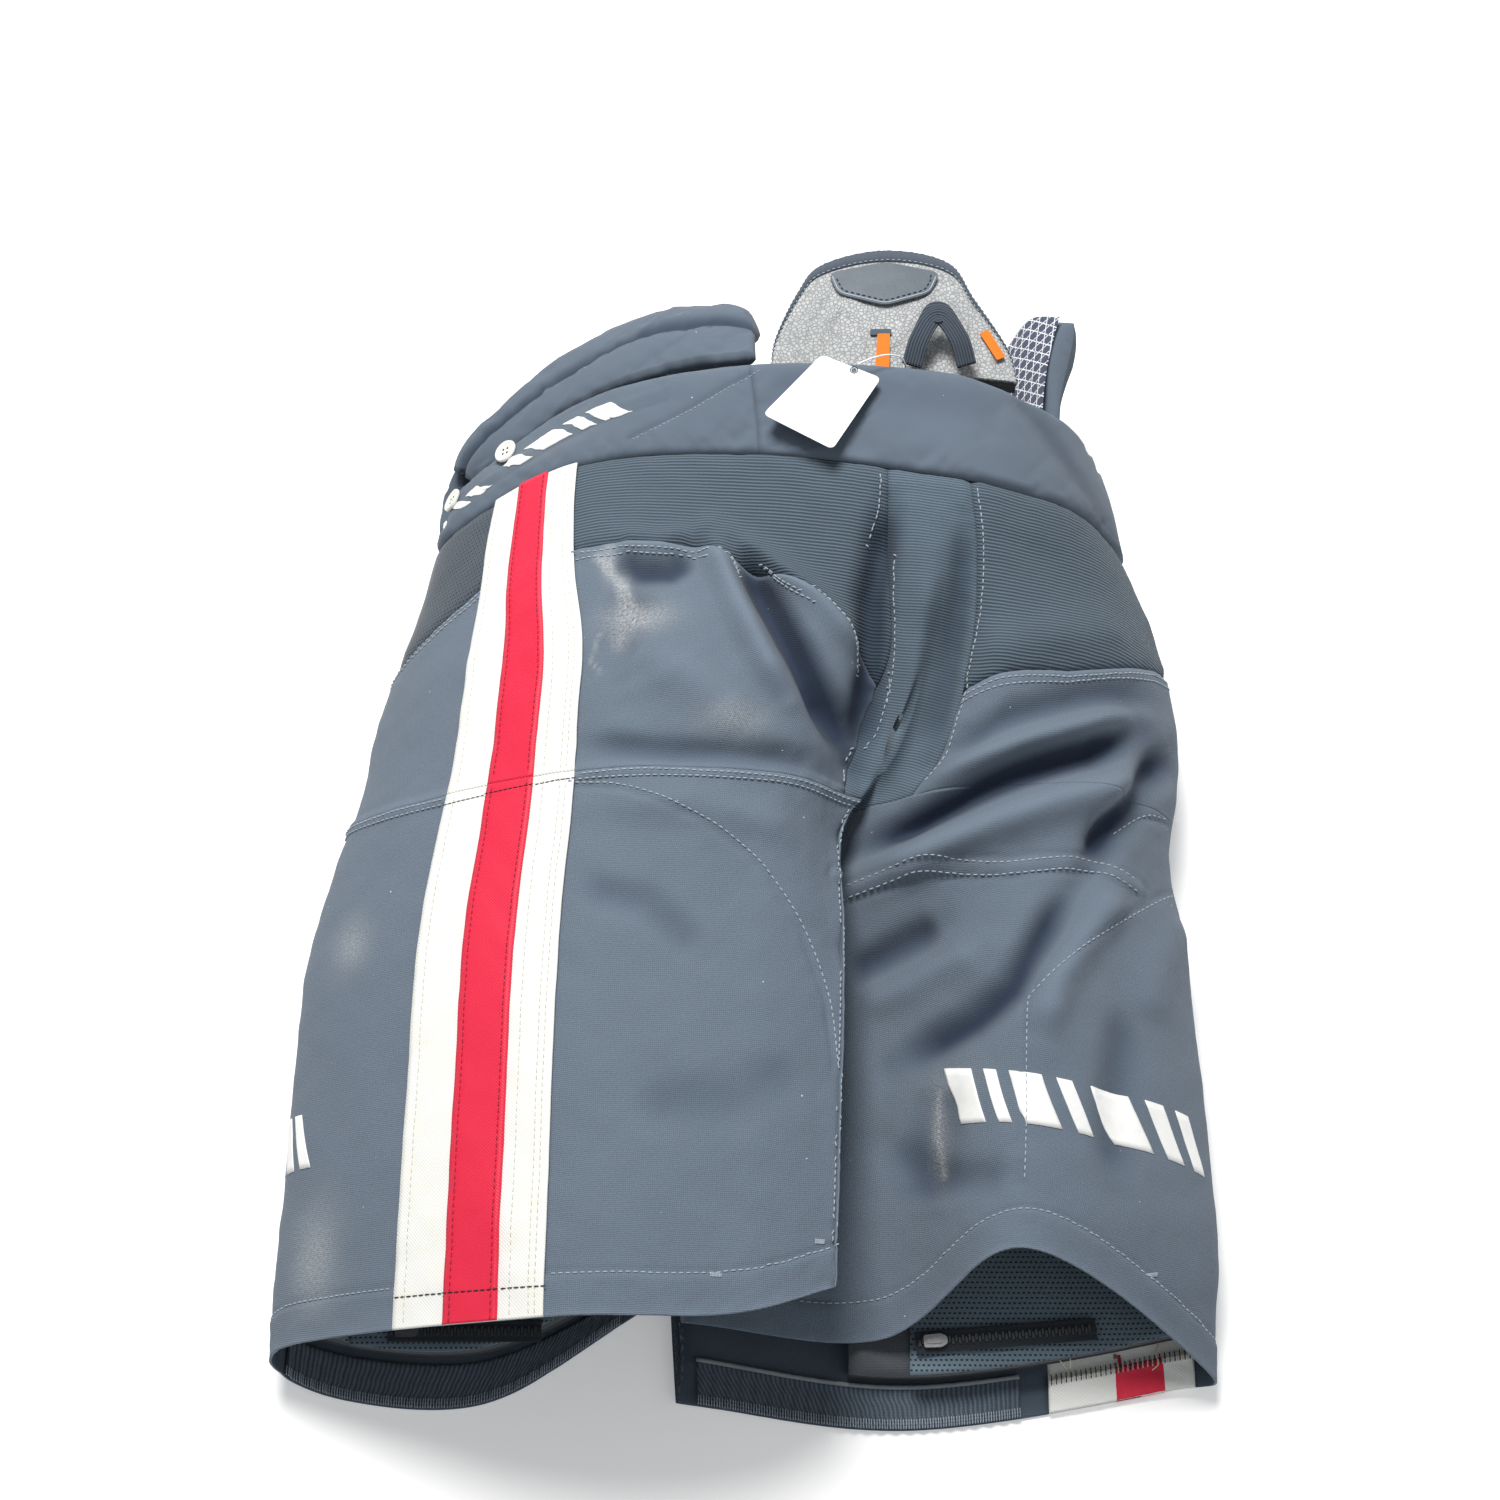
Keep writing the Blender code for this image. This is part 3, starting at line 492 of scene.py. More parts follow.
# linear colours
SLATE = (0.142, 0.180, 0.228)
BAND_SLATE = (0.112, 0.142, 0.182)
KNIT_SLATE = (0.088, 0.120, 0.152)
DEEP_SLATE = (0.062, 0.086, 0.112)

NYLON = woven("nylon_cloth", SLATE, 1.0, 0.55, dust=0.9, lint=0.7)
BAND_CLOTH = woven("band_cloth", BAND_SLATE, 0.55, 0.22, dust=0.5, bump=0.25, roughness=0.9, lint=0.8)
KNIT_CLOTH = ribbed("knit_cloth", KNIT_SLATE, 1.9)
GUSSET_CLOTH = ribbed("gusset_cloth", KNIT_SLATE, 1.6, depth=0.3, mottled=0.6)
MESH_CLOTH = perforated_knit("mesh_cloth", (0.052, 0.070, 0.092))
ELASTIC = ribbed("elastic_cloth", DEEP_SLATE, 2.4, "X", 0.8)
LINING = woven("lining_cloth", DEEP_SLATE, 0.8, 0.4, bump=0.3)
WHITE = twill("white_tape", (0.86, 0.86, 0.84), (0.66, 0.66, 0.62), yellow=(0.80, 0.76, 0.58))
RED = twill("red_tape", (0.80, 0.018, 0.060), (0.50, 0.008, 0.035), 0.8, 0.5, 0.02)
THREAD = plain_object("slate_thread", (0.33, 0.38, 0.43), 0.7)
THREAD_DARK = plain_object("dark_thread", (0.02, 0.025, 0.03), 0.7)
THREAD_RED = plain_object("red_thread", (0.30, 0.008, 0.03), 0.6)
THREAD_CREAM = plain_object("cream_thread", (0.62, 0.60, 0.50), 0.7)
FOAM = woven("foam_cover", (0.08, 0.09, 0.10), 1.4, 0.4)
PLASTIC = plain_object("pad_plastic", (0.05, 0.055, 0.06), 0.45)


# ---------------------------------------------------------------- cloth meshes
SEAM_DIP, SEAM_REACH = 1.4, 2.8
PUCKER = 0.6
HEM_WIDTH = 20.0
STITCHED = []  # outer faces of the finished cloth, for stitches to lie on


def to_frame(points):
    return (np.asarray(points) + SHIFT) * MM


def unit(vectors):
    return vectors / np.maximum(np.linalg.norm(vectors, axis=-1, keepdims=True), 1e-9)


def normals_at(side, u, v):
    h = 0.02
    across = shell(side, u + h, v) - shell(side, u - h, v)
    down = shell(side, u, v + h) - shell(side, u, v - h)
    return unit(np.cross(across, down) * -side)


def spot_on(side, u, v):
    """One place on the shell and the direction out of it."""
    u, v = np.array([u]), np.array([v])
    return shell(side, u, v)[0], normals_at(side, u, v)[0]


def arc_lengths(points, axis):
    steps = np.linalg.norm(np.diff(points, axis=axis), axis=-1)
    start = np.zeros_like(np.take(steps, [0], axis=axis))
    return np.cumsum(np.concatenate([start, steps], axis=axis), axis=axis)


def edge_gaps(points):
    """Distance of every grid point from each of the four edges: both ends of u, then both ends of v."""
    along_u, along_v = arc_lengths(points, 0), arc_lengths(points, 1)
    return along_u, along_u[-1:] - along_u, along_v, along_v[:, -1:] - along_v


def grid_quads(rows, cols):
    index = np.arange(rows * cols).reshape(rows, cols)
    corners = [index[:-1, :-1], index[1:, :-1], index[1:, 1:], index[:-1, 1:]]
    return index, np.stack(corners, axis=-1).reshape(-1, 4)


def surface_grid(side, u, v, step):
    """Surface places about step mm apart. The limits in v may be tables over u."""
    across = np.linspace(u[0], u[1], 33)[:, None]
    share = np.linspace(0, 1, 33)[None, :]
    low, high = at(v[0], across), at(v[1], across)
    rough = shell(side, across + 0 * share, low + (high - low) * share)
    wide = arc_lengths(rough, 0)[-1].max()
    long = arc_lengths(rough, 1)[:, -1].max()
    count_u, count_v = max(int(wide / step), 4) + 1, max(int(long / step), 4) + 1
    across = np.linspace(u[0], u[1], count_u)[:, None]
    share = np.linspace(0, 1, count_v)[None, :]
    low, high = at(v[0], across), at(v[1], across)
    return across + 0 * share, low + (high - low) * share


def edge_relief(kind, gap, points):
    """How the cloth rises or sinks beside a seam, a felled seam, a hem or a free edge."""
    if kind == "seam":
        pucker = PUCKER * noise(points, 12, 5) * np.exp(-gap / 11)
        return pucker - SEAM_DIP * np.exp(-((gap / SEAM_REACH) ** 2))
    if kind == "rib":
        raised = 1 / (1 + np.exp((gap - 4.2) * 2.2))
        return 1.1 * raised + PUCKER * noise(points, 14, 6) * np.exp(-gap / 14)
    if kind == "hem":
        groove = np.exp(-(((gap - HEM_WIDTH) / 1.5) ** 2))
        band = 1 / (1 + np.exp((gap - HEM_WIDTH) * 1.5))
        return 0.8 * band - 0.9 * groove + 0.8 * noise(points, 17, 7) * np.exp(-gap / 20)
    return np.zeros_like(gap)


# name: (route seen from above, half width of the raised strip) of seams that cross a panel
FELLED = {
    "thigh_right": ([(46, -45), (74, -40), (95, -38), (135, -43), (180, -40), (206, -46)], 4.5),
    "knee_left": (
        [(-93, -7), (-67, -11), (-26, -27), (-3, -42), (10, -56), (26, -81), (38, -115), (42, -150)], 0.0
    ),
    "hip_right": ([(195, -19), (211, -7), (229, -1)], 0.0),
    "knee_right": (
        [
            (226, -40), (187, -70), (159, -93), (145, -106), (139, -114), (137, -139), (136, -165),
            (133, -206)
        ],
        0.0
    )
}


def felled_relief(points, normal):
    """Seams inside a panel: a raised strip between two grooves, or one groove if the strip has no width."""
    total = np.zeros(points.shape[:-1])
    for route, half in FELLED.values():
        gap, _ = from_line(points[..., :2], route)
        total -= 1.0 * np.exp(-(((gap - half) / 1.5) ** 2))
        total += 0.5 * noise(points, 11, 9) * np.exp(-np.maximum(gap - half, 0) / 7)
        if half:
            total += 0.9 / (1 + np.exp(np.minimum((gap - half) * 2.2, 50)))
    return total * np.clip((normal[..., 2] - 0.2) * 3, 0, 1)


def closed_mesh(name, outer, inner, flip):
    """One closed mesh between two equal grids, in mm. The first half of its points are the outer grid."""
    rows, cols = outer.shape[:2]
    index, top = grid_quads(rows, cols)
    low = top[:, ::-1] + rows * cols
    ring = np.concatenate([index[:, 0], index[-1, 1:], index[-2::-1, -1], index[0, -2:0:-1]])
    after = np.roll(ring, -1)
    walls = np.stack([after, ring, ring + rows * cols, after + rows * cols], axis=-1)
    faces = np.concatenate([top, low, walls])
    if flip:
        faces = faces[:, ::-1]
    mesh = bpy.data.meshes.new(name)
    points = to_frame(np.concatenate([outer.reshape(-1, 3), inner.reshape(-1, 3)]))
    mesh.from_pydata(points.tolist(), [], faces.tolist())
    mesh.polygons.foreach_set("use_smooth", np.ones(len(faces), bool))
    mesh.update()
    return mesh, len(top), len(low)


def set_attribute(mesh, name, values):
    values = np.asarray(values, np.float32)
    kind = "FLOAT_VECTOR" if values.ndim == 2 else "FLOAT"
    made = mesh.attributes.new(name, kind, "POINT")
    made.data.foreach_set("vector" if values.ndim == 2 else "value", values.ravel())


def place(obj, body, nodes, slot):
    """Links an object and lets it move with its body; an object given two bodies stays where it is."""
    bpy.context.scene.collection.objects.link(obj)
    if isinstance(body, tuple):
        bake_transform(obj)
    else:
        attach(obj, body)
    if nodes:
        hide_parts(*nodes)
    return obj


def sheet_piece(name, outer, inner, flip, looks, body, nodes, slot, edge=None, fold=None):
    """A closed cloth object with its weave, dust and edge values, and the fold values that set where shade
    and highlight are painted.
    """
    mesh, top, low = closed_mesh(name, outer, inner, flip)
    none = 0 * outer[..., 0]
    weave = np.stack([arc_lengths(outer, 0), arc_lengths(outer, 1), none], axis=-1)
    set_attribute(mesh, "weave", np.concatenate([weave.reshape(-1, 3)] * 2))
    set_attribute(mesh, "dust", np.concatenate([dust_at(outer).ravel(), none.ravel()]))
    for key, values in (("edge", edge), ("fold", fold)):
        values = none if values is None else np.clip(values, -1, 1)
        set_attribute(mesh, key, np.concatenate([values.ravel()] * 2))
    for look in looks:
        mesh.materials.append(look)
    if len(looks) > 1:
        slots = np.zeros(len(mesh.polygons), np.int32)
        slots[top : top + low] = 1
        mesh.polygons.foreach_set("material_index", slots)
    return place(bpy.data.objects.new(name, mesh), body, nodes, slot)


def remember(outer):
    """Keeps an outer grid as a surface that stitches and patches can lie on."""
    STITCHED.append((outer.reshape(-1, 3), grid_quads(*outer.shape[:2])[1]))


def cloth(
    name, side, u, v, body, looks, slot, nodes, edges, top=0.0, thick=1.3, step=3.0, rough=1.0, held="draped"
):
    """A sewn panel of the shell, with folds, small unevenness and relief along its four edges."""
    across, down = surface_grid(side, u, v, step)
    base = shell(side, across, down)
    normal = normals_at(side, across, down)
    gaps = edge_gaps(base)
    height = top + fold_height(base, normal) + (felled_relief(base, normal) if top == 0 else 0)
    height += rough * (1.3 * noise(base, 75, 1) + 0.16 * noise(base, 22, 2))
    for kind, gap in zip(edges, gaps):
        height += edge_relief(kind, gap, base)
    nearest = np.minimum.reduce([np.where(kind == "free", 99.0, gap) for kind, gap in zip(edges, gaps)])
    wear = np.exp(-nearest / 2.0)
    outer = base + normal * height[..., None]
    outer[..., 2] = np.maximum(outer[..., 2], 0.0)
    inner = outer - normal * thick
    inner[..., 2] = np.maximum(inner[..., 2], 0.0) + np.where(inner[..., 2] < 0, thick, 0.0)
    # the fold heights also set the painted shade and painted highlight
    made = sheet_piece(
        name, outer, inner, side == R, looks, body, nodes, slot, wear, fold_height(base, normal) / 9.5
    )
    remember(outer)


LEFT_BEND = ("pelvis", "left_leg")
RIGHT_BEND = ("pelvis", "right_leg")
SHELL_LOOKS = (NYLON, LINING)
KNIT_LOOKS = (KNIT_CLOTH, LINING)

# ---- seat and hips ----
cloth("knit_yoke_left", L, (GUSSET_L, 2.5), (1.0, YOKE_LEFT), "pelvis", KNIT_LOOKS, "stretch_knit",
      ["back_yoke_left"], ("seam", "free", "seam", "seam"))
cloth("knit_yoke_right", R, (GUSSET_R, SIDE_R), (1.0, YOKE_RIGHT), "pelvis", KNIT_LOOKS, "stretch_knit",
      ["back_yoke_right"], ("seam", "free", "seam", "seam"))
cloth(
    "seat_gusset", R, (-GUSSET_L, GUSSET_R), (1.0, SEAT), LEFT_BEND, (GUSSET_CLOTH, LINING), "stretch_knit",
    ["centre_gusset"], ("seam", "seam", "seam", "free")
)
cloth("mesh_vent_left", L, (2.5, SIDE), (1.0, VENT_EDGE), "pelvis", (MESH_CLOTH, LINING), "vent_mesh",
      ["side_vent_left"], ("free", "free", "seam", "seam"))
cloth("seat_left", L, (GUSSET_L, SIDE), (YOKE_LEFT, SEAT), LEFT_BEND, SHELL_LOOKS, "nylon_shell",
      ["seat_panel_left"], ("seam", "seam", "seam", "rib"), step=2.2)
cloth("seat_right", R, (GUSSET_R, SIDE_R), (YOKE_RIGHT, SEAT), RIGHT_BEND, SHELL_LOOKS, "nylon_shell",
      ["seat_panel_right"], ("seam", "free", "seam", "free"), step=2.2)
cloth("upper_front_left", L, (SIDE, 6.0), (1.0, SEAT), LEFT_BEND, SHELL_LOOKS, "nylon_shell",
      ["front_upper_left"], ("seam", "seam", "seam", "rib"), held="laid")
cloth("upper_front_right", R, (4.5, 6.0), (1.0, SEAT), RIGHT_BEND, SHELL_LOOKS, "nylon_shell",
      ["front_upper_right"], ("free", "seam", "seam", "rib"), held="laid")

# ---- legs ----
cloth("leg_back_left", L, (0.0, SIDE), (SEAT, 9.0), "left_leg", SHELL_LOOKS, "nylon_shell",
      ["back_panel_left"], ("seam", "seam", "rib", "hem"), step=2.2)
cloth("leg_back_right", R, (0.0, SIDE_R), (SEAT, 9.0), "right_leg", SHELL_LOOKS, "nylon_shell",
      ["back_panel_right"], ("seam", "free", "free", "hem"), step=2.2)
cloth("leg_front_left", L, (SIDE, 6.0), (SEAT, 9.0), "left_leg", SHELL_LOOKS, "nylon_shell",
      ["front_panel_left"], ("seam", "seam", "rib", "hem"), held="laid")
cloth("leg_front_right", R, (4.5, 6.0), (SEAT, 9.0), "right_leg", SHELL_LOOKS, "nylon_shell",
      ["front_panel_right"], ("free", "seam", "rib", "hem"), held="laid")

# ---- side stripes ----
STRIPES = [
    (L, "left", LEFT_BEND, "white", WHITE, STRIPE_U, 2.2),
    (L, "left", LEFT_BEND, "red", RED, RED_U, 3.6),
    (R, "right", RIGHT_BEND, "white", WHITE, STRIPE_R_U, 0.0),
    (R, "right", RIGHT_BEND, "red", RED, RED_R_U, 1.2),
]
for side, suffix, bend, tone, look, span, top in STRIPES:
    mark = "red_" if tone == "red" else ""
    for part, down, body in (("upper", (1.0, SEAT), bend), ("lower", (SEAT, 9.0), suffix + "_leg")):
        cloth(f"stripe_{tone}_{part}_{suffix}", side, span, down, body, (look,), "stripe_" + tone,
              [f"stripe_{part}_{mark}{suffix}"], ("free",) * 4, top, 1.1, 2.5, held="stretched")


# ---------------------------------------------------------------- padded pieces
def rounded(gap, radius):
    """Share of the full thickness at this distance from an edge, for a rounded edge."""
    t = 1 - np.clip(gap / radius, 0, 1)
    return np.sqrt(np.clip(1 - t * t, 0.02, 1))


SIM_FRAMES = 20
PAD_PRESSURE = 3.0


def swell(obj, outer, edge, cap):
    """Blows a pad up a little by cloth simulation, held along its seams and underneath.

    No point moves more than cap mm. Returns the outer grid as it is afterwards.
    """
    mesh = obj.data
    pinned = np.concatenate([edge.ravel(), np.ones(edge.size, bool)])
    rest = np.empty(len(mesh.vertices) * 3)
    mesh.vertices.foreach_get("co", rest)
    rest = rest.reshape(-1, 3)
    held = obj.vertex_groups.new(name="held")
    held.add([int(k) for k in np.flatnonzero(pinned)], 1.0, "REPLACE")
    sim = obj.modifiers.new("cloth", "CLOTH")
    sim.settings.vertex_group_mass = "held"
    sim.settings.quality = 5
    sim.settings.mass = 0.15
    sim.settings.tension_stiffness = 12
    sim.settings.compression_stiffness = 12
    sim.settings.bending_stiffness = 0.3
    sim.settings.shrink_min = -0.035
    sim.settings.use_pressure = True
    sim.settings.uniform_pressure_force = PAD_PRESSURE
    sim.settings.effector_weights.gravity = 0
    sim.collision_settings.use_self_collision = False
    sim.point_cache.frame_start = 1
    sim.point_cache.frame_end = SIM_FRAMES
    for moment in range(1, SIM_FRAMES + 1):
        bpy.context.scene.frame_set(moment)
    graph = bpy.context.evaluated_depsgraph_get()
    moved = np.empty(len(mesh.vertices) * 3)
    obj.evaluated_get(graph).data.vertices.foreach_get("co", moved)
    shift = moved.reshape(-1, 3) - rest
    size = np.linalg.norm(shift, axis=1, keepdims=True)
    limit = cap * MM
    shift *= np.tanh(size / limit) * limit / np.maximum(size, 1e-9)
    shift[~np.isfinite(shift).all(axis=1)] = 0
    obj.modifiers.remove(sim)
    obj.vertex_groups.remove(held)
    lowered = rest + shift
    lowered[:, 2] = np.maximum(lowered[:, 2], 0)
    mesh.vertices.foreach_set("co", lowered.ravel())
    mesh.update()
    bpy.context.scene.frame_set(1)
    return outer + ((lowered - rest) / MM)[: edge.size].reshape(outer.shape)


def pad(name, side, u, v, reach, body, looks, slot, nodes, round_edges, radius, grooves=(), step=3.0,
        follow=0.9, rough=1.0, simulate=False):
    """A padded slab that follows the shell between two offsets.

    Grooves are (route from above, half width, depth).
    """
    across, down = surface_grid(side, u, v, step)
    base = shell(side, across, down)
    normal = normals_at(side, across, down)
    gaps = edge_gaps(base)
    shape = np.ones(base.shape[:2])
    for kind, gap in zip(round_edges, gaps):
        if kind:
            shape = np.minimum(shape, rounded(gap, radius))
    low, high = reach
    middle, half = 0.5 * (low + high), 0.5 * (high - low)
    carried = follow * fold_height(base, normal)
    lift = carried + rough * 0.7 * noise(base, 55, 11) + rough * 0.3 * noise(base, 19, 12)
    crown = middle + half * shape + lift
    for route, width, depth in grooves:
        gap, _ = from_line(base[..., :2], route)
        crown -= depth * np.exp(-((gap / width) ** 2)) * np.clip((normal[..., 2] - 0.1) * 3, 0, 1)
    floor_side = middle - half * shape + carried
    outer = base + normal * crown[..., None]
    inner = base + normal * np.minimum(floor_side, crown - 0.6)[..., None]
    outer[..., 2] = np.maximum(outer[..., 2], 0.6 if low < 0 else 0.0)
    inner[..., 2] = np.maximum(inner[..., 2], 0.0)
    wear = np.zeros(base.shape[:2])
    for kind, gap in zip(round_edges, gaps):
        if kind:
            wear = np.maximum(wear, np.exp(-gap / 2.5))
    # painted shade in the grooves and along the rounded edges, a little painted highlight on raised beads
    relief_shade_and_highlight = (crown - middle - half * shape - lift) / 4 - 0.35 * (1 - shape)
    made = sheet_piece(name, outer, inner, side == R, looks, body, nodes, slot, wear, relief_shade_and_highlight)
    if simulate:
        outer = swell(made, outer, np.minimum.reduce(gaps) < 3.5, 1.6)
    remember(outer)


def smooth_outline(points, count):
    """A soft curve through an open outline."""
    points = np.array(points, float)
    ends = [2 * points[0] - points[1]], [2 * points[-1] - points[-2]]
    line = np.concatenate([ends[0], points, ends[1]])
    where = np.linspace(0, len(points) - 1, count)
    k = np.clip(np.floor(where).astype(int), 0, len(line) - 4)
    w = weights(where - k)
    return sum(w[i][:, None] * line[k + i] for i in range(4))


def raised(name, base, top, profile, shift, looks, body, slot, nodes, cells, arch, fill=0.6,
           crease=None, wrinkle=0.8, simulate=False):
    """A pad that stands up from a base line to a top line.

    profile(t) is its half thickness, from 0 at the base to 1 at the top.
    """
    count_u, count_t = cells
    foot, head = smooth_outline(base, count_u), smooth_outline(top, count_u)
    t = np.linspace(0, 1, count_t)[None, :, None]
    near = np.gradient(foot, axis=0)
    normal = unit(np.cross(near, head - foot))
    normal *= np.where(normal[:, 2:] > 0, 1, -1)
    middle = foot[:, None] * (1 - t) + head[:, None] * t
    half = np.array([profile(x) for x in t[0, :, 0]])[None, :]
    ends = np.minimum(np.arange(count_u), np.arange(count_u)[::-1])[:, None] / 3.0
    half = half * np.sqrt(np.clip(1 - (1 - np.clip(ends, 0, 1)) ** 2, 0.1, 1))
    bow = arch * np.sin(np.pi * t[..., 0]) + shift
    bumps = wrinkle * noise(middle, 42, 21) + 0.4 * wrinkle * noise(middle, 15, 22)
    upper = bow + half + bumps
    if crease:
        place_t, width, depth = crease
        upper = upper - depth * np.exp(-(((t[..., 0] - place_t) / width) ** 2))
    outer = middle + normal[:, None] * upper[..., None]
    inner = middle + normal[:, None] * (bow - half)[..., None]
    outer[..., 2] = np.maximum(outer[..., 2], 0.6)
    inner[..., 2] = np.maximum(inner[..., 2], 0.0)
    facing = np.cross(outer[1, 1] - outer[0, 1], outer[0, 2] - outer[0, 1]) @ normal[0] > 0
    # painted shade along the crease
    dark = 0 * outer[..., 0] - (0.8 * np.exp(-(((t[..., 0] - crease[0]) / crease[1]) ** 2)) if crease else 0)
    made = sheet_piece(name, outer, inner, not facing, looks, body, nodes, slot, None, dark)
    if simulate:
        edge = np.zeros(outer.shape[:2], bool)
        edge[:, 0] = True
        edge[0] = edge[-1] = True
        outer = swell(made, outer, edge, 2.5)
    remember(outer)
    return made


PRINT_PITCH = 6.0


def triangles_print(name, ground, ink):
    """Navy lining printed with a lattice of thin lines that make triangles."""
    n = Nodes(name, 0.8, 0.25, 0.2)
    cloth_place = n.attribute("weave").outputs["Vector"]
    split = n.add("ShaderNodeSeparateXYZ", {0: cloth_place})
    x, y = split.outputs["X"], split.outputs["Y"]
    lines = None
    for angle in (0, 60, 120):
        c, s = math.cos(math.radians(angle)), math.sin(math.radians(angle))
        across = n.plus(n.times(x, c), n.times(y, s))
        gap = n.math(
            "ABSOLUTE", n.math("SUBTRACT", n.math("FRACT", n.math("DIVIDE", across, PRINT_PITCH)), 0.5)
        )
        line = n.math("LESS_THAN", gap, 0.055)
        lines = line if lines is None else n.math("MAXIMUM", lines, line)
    broken = n.ramp(n.noise(cloth_place, 0.9, 3.0), 0.3, 0.5)
    body = n.mix(n.noise(cloth_place, 1.6, 3.0), rgba(ground, 0.7), rgba(ground, 1.3))
    body = n.mix(n.times(lines, broken), body, rgba(ink))
    return n.finish(body, n.noise(cloth_place, 2.0, 3.0), 0.3, 0.0004)


PRINT = triangles_print("triangle_print", (0.045, 0.055, 0.10), (0.78, 0.80, 0.82))
BAND_LOOKS = (BAND_CLOTH, LINING)
DIAGONAL = [(4, 229), (-33, 211), (-66, 199)]  # seam from the band's top edge down to its lower edge
PIPING_ROUTES = [
    ([(-150, 196), (-117, 208), (-83, 220), (-45, 226)], 2.2, -0.9),
    ([(-152, 190), (-117, 202), (-83, 213), (-45, 219)], 1.6, 0.7),
    ([(-176, 177), (-150, 187), (-117, 196), (-83, 207)], 3.5, -0.5),
]

# ---- waistband ----
pad(
    "hip_band_left", L, (1.0, 3.25), (0.0, 1.0), (-6.0, 2.0), "pelvis", BAND_LOOKS, "nylon_band",
    ["left_hip_band"], (False, True, True, True), 5.5, [(DIAGONAL, 1.5, 1.2), *PIPING_ROUTES], step=2.2,
    simulate=True
)
pad(
    "band_back", R, (-1.0, 3.5), (0.0, 1.0), (-6.0, 2.0), "pelvis", BAND_LOOKS, "nylon_band", ["back_band"],
    (False, True, True, True), 5.5,
    [([(150, 214), (178, 182), (200, 158)], 8, 1.6), ([(120, 206), (60, 214), (20, 222)], 14, 0.8)],
    step=2.4, simulate=True
)
pad(
    "belt_front_left", L, (3.75, 6.0), (0.0, 1.0), (-6.5, 0.0), "pelvis", BAND_LOOKS, "nylon_band",
    ["front_belt_left"], (True, True, True, True), 4.0
)
pad(
    "belt_front_right", R, (3.5, 6.0), (0.0, 1.0), (-6.5, 0.0), "pelvis", BAND_LOOKS, "nylon_band",
    ["front_belt_right"], (True, True, True, True), 4.0
)
UNDER_BAND = -6.5
cloth("waist_lining", R, (-2.5, 3.0), (0.02, 0.98), "pelvis", (PRINT, PRINT), "lining", ["waist_liner_back"],
      ("free",) * 4, top=UNDER_BAND, thick=1.4, rough=0.4, held="stretched")

# ---- kidney pads ----
left_foot = []
for u in (1.0, 1.4, 1.8, 2.25, 2.75, 3.25, 3.75):
    left_foot.append(spot_on(L, u, 0.0)[0] - spot_on(L, u, 0.05)[1] * 15 + np.array([0, 12, 0]))
LEFT_HEAD = [
    (6, 292, 92), (-14, 312, 82), (-50, 315, 74), (-95, 298, 64), (-135, 266, 54), (-164, 230, 44),
    (-184, 190, 28)
]


def roll_profile(t):
    """Thin where it is sewn, thick and round along the top."""
    body = 4.5 + 5.5 * min(max((t - 0.3) / 0.35, 0), 1)
    return body * math.sqrt(max(1 - max(t - 0.72, 0) ** 2 / 0.0784, 0.02))


raised("kidney_roll_left", left_foot, LEFT_HEAD, roll_profile, 0.0, BAND_LOOKS, "pelvis", "nylon_band",
       ["kidney_pad_left"], (90, 44), 9.0, crease=(0.4, 0.06, 3.5), simulate=True)
RIGHT_FOOT = [(144, 232, 42), (156, 231, 64), (168, 228, 86)]
RIGHT_HEAD = [(150, 296, 58), (166, 312, 76), (182, 304, 92)]
raised("kidney_roll_right", RIGHT_FOOT, RIGHT_HEAD, roll_profile, -9.5, BAND_LOOKS, "pelvis", "nylon_band",
       ["kidney_pad_right"], (30, 36), 3.0, wrinkle=0.4)
raised(
    "kidney_print_right", RIGHT_FOOT, RIGHT_HEAD, lambda t: 0.75, 0.8, (PRINT, PRINT), "pelvis",
    "printed_lining", ["kidney_liner_right"], (30, 36), 3.0, fill=None, wrinkle=0.3
)


# ---------------------------------------------------------------- stitches, patches and tubes on the cloth
def stitched_surface():
    points, faces, start = [], [], 0
    for verts, quads in STITCHED:
        points.append(verts)
        faces.append(quads + start)
        start += len(verts)
    points = np.concatenate(points)
    return BVHTree.FromPolygons(points.tolist(), np.concatenate(faces).tolist())


def settle(tree, places):
    """Nearest places on the cloth, and the directions that point away from it."""
    found, normals = [], []
    for p in places:
        spot, normal, _, _ = tree.find_nearest(Vector(p))
        found.append(tuple(spot))
        normals.append(tuple(normal if normal.z > -0.3 else -normal))
    return np.array(found), np.array(normals)


def drop(tree, route):
    """Places on the cloth straight below a route seen from above."""
    found, normals = [], []
    for x, y in route:
        spot, normal, _, _ = tree.ray_cast(Vector((x, y, 400)), Vector((0, 0, -1)))
        if spot is not None:
            found.append(tuple(spot))
            normals.append(tuple(normal if normal.z > 0 else -normal))
    return np.array(found), np.array(normals)


def spaced(points, pitch):
    """The same line with a point every pitch mm."""
    points = np.array(points, float)
    steps = np.concatenate([[0], np.cumsum(np.linalg.norm(np.diff(points, axis=0), axis=1))])
    wanted = np.arange(0, steps[-1], pitch)
    return np.stack([np.interp(wanted, steps, points[:, k]) for k in range(points.shape[1])], axis=1)


class Batch:
    """Collects small closed meshes and makes one object of them."""

    def __init__(self):
        self.points, self.faces, self.count = [], [], 0

    def take(self, points, faces):
        self.points.append(points)
        self.faces.extend([tuple(k + self.count for k in face) for face in faces])
        self.count += len(points)

    def build(self, name, look, body, slot, smooth=True):
        mesh = bpy.data.meshes.new(name)
        mesh.from_pydata(to_frame(np.concatenate(self.points)).tolist(), [], self.faces)
        mesh.polygons.foreach_set("use_smooth", np.full(len(self.faces), smooth))
        mesh.update()
        mesh.materials.append(look)
        return place(bpy.data.objects.new(name, mesh), body, (), slot)


SIDES = 6
RINGS = [(-1.0, 0.35, -0.30), (-0.7, 0.9, -0.02), (0.0, 1.0, 0.08), (0.7, 0.9, -0.02), (1.0, 0.35, -0.30)]


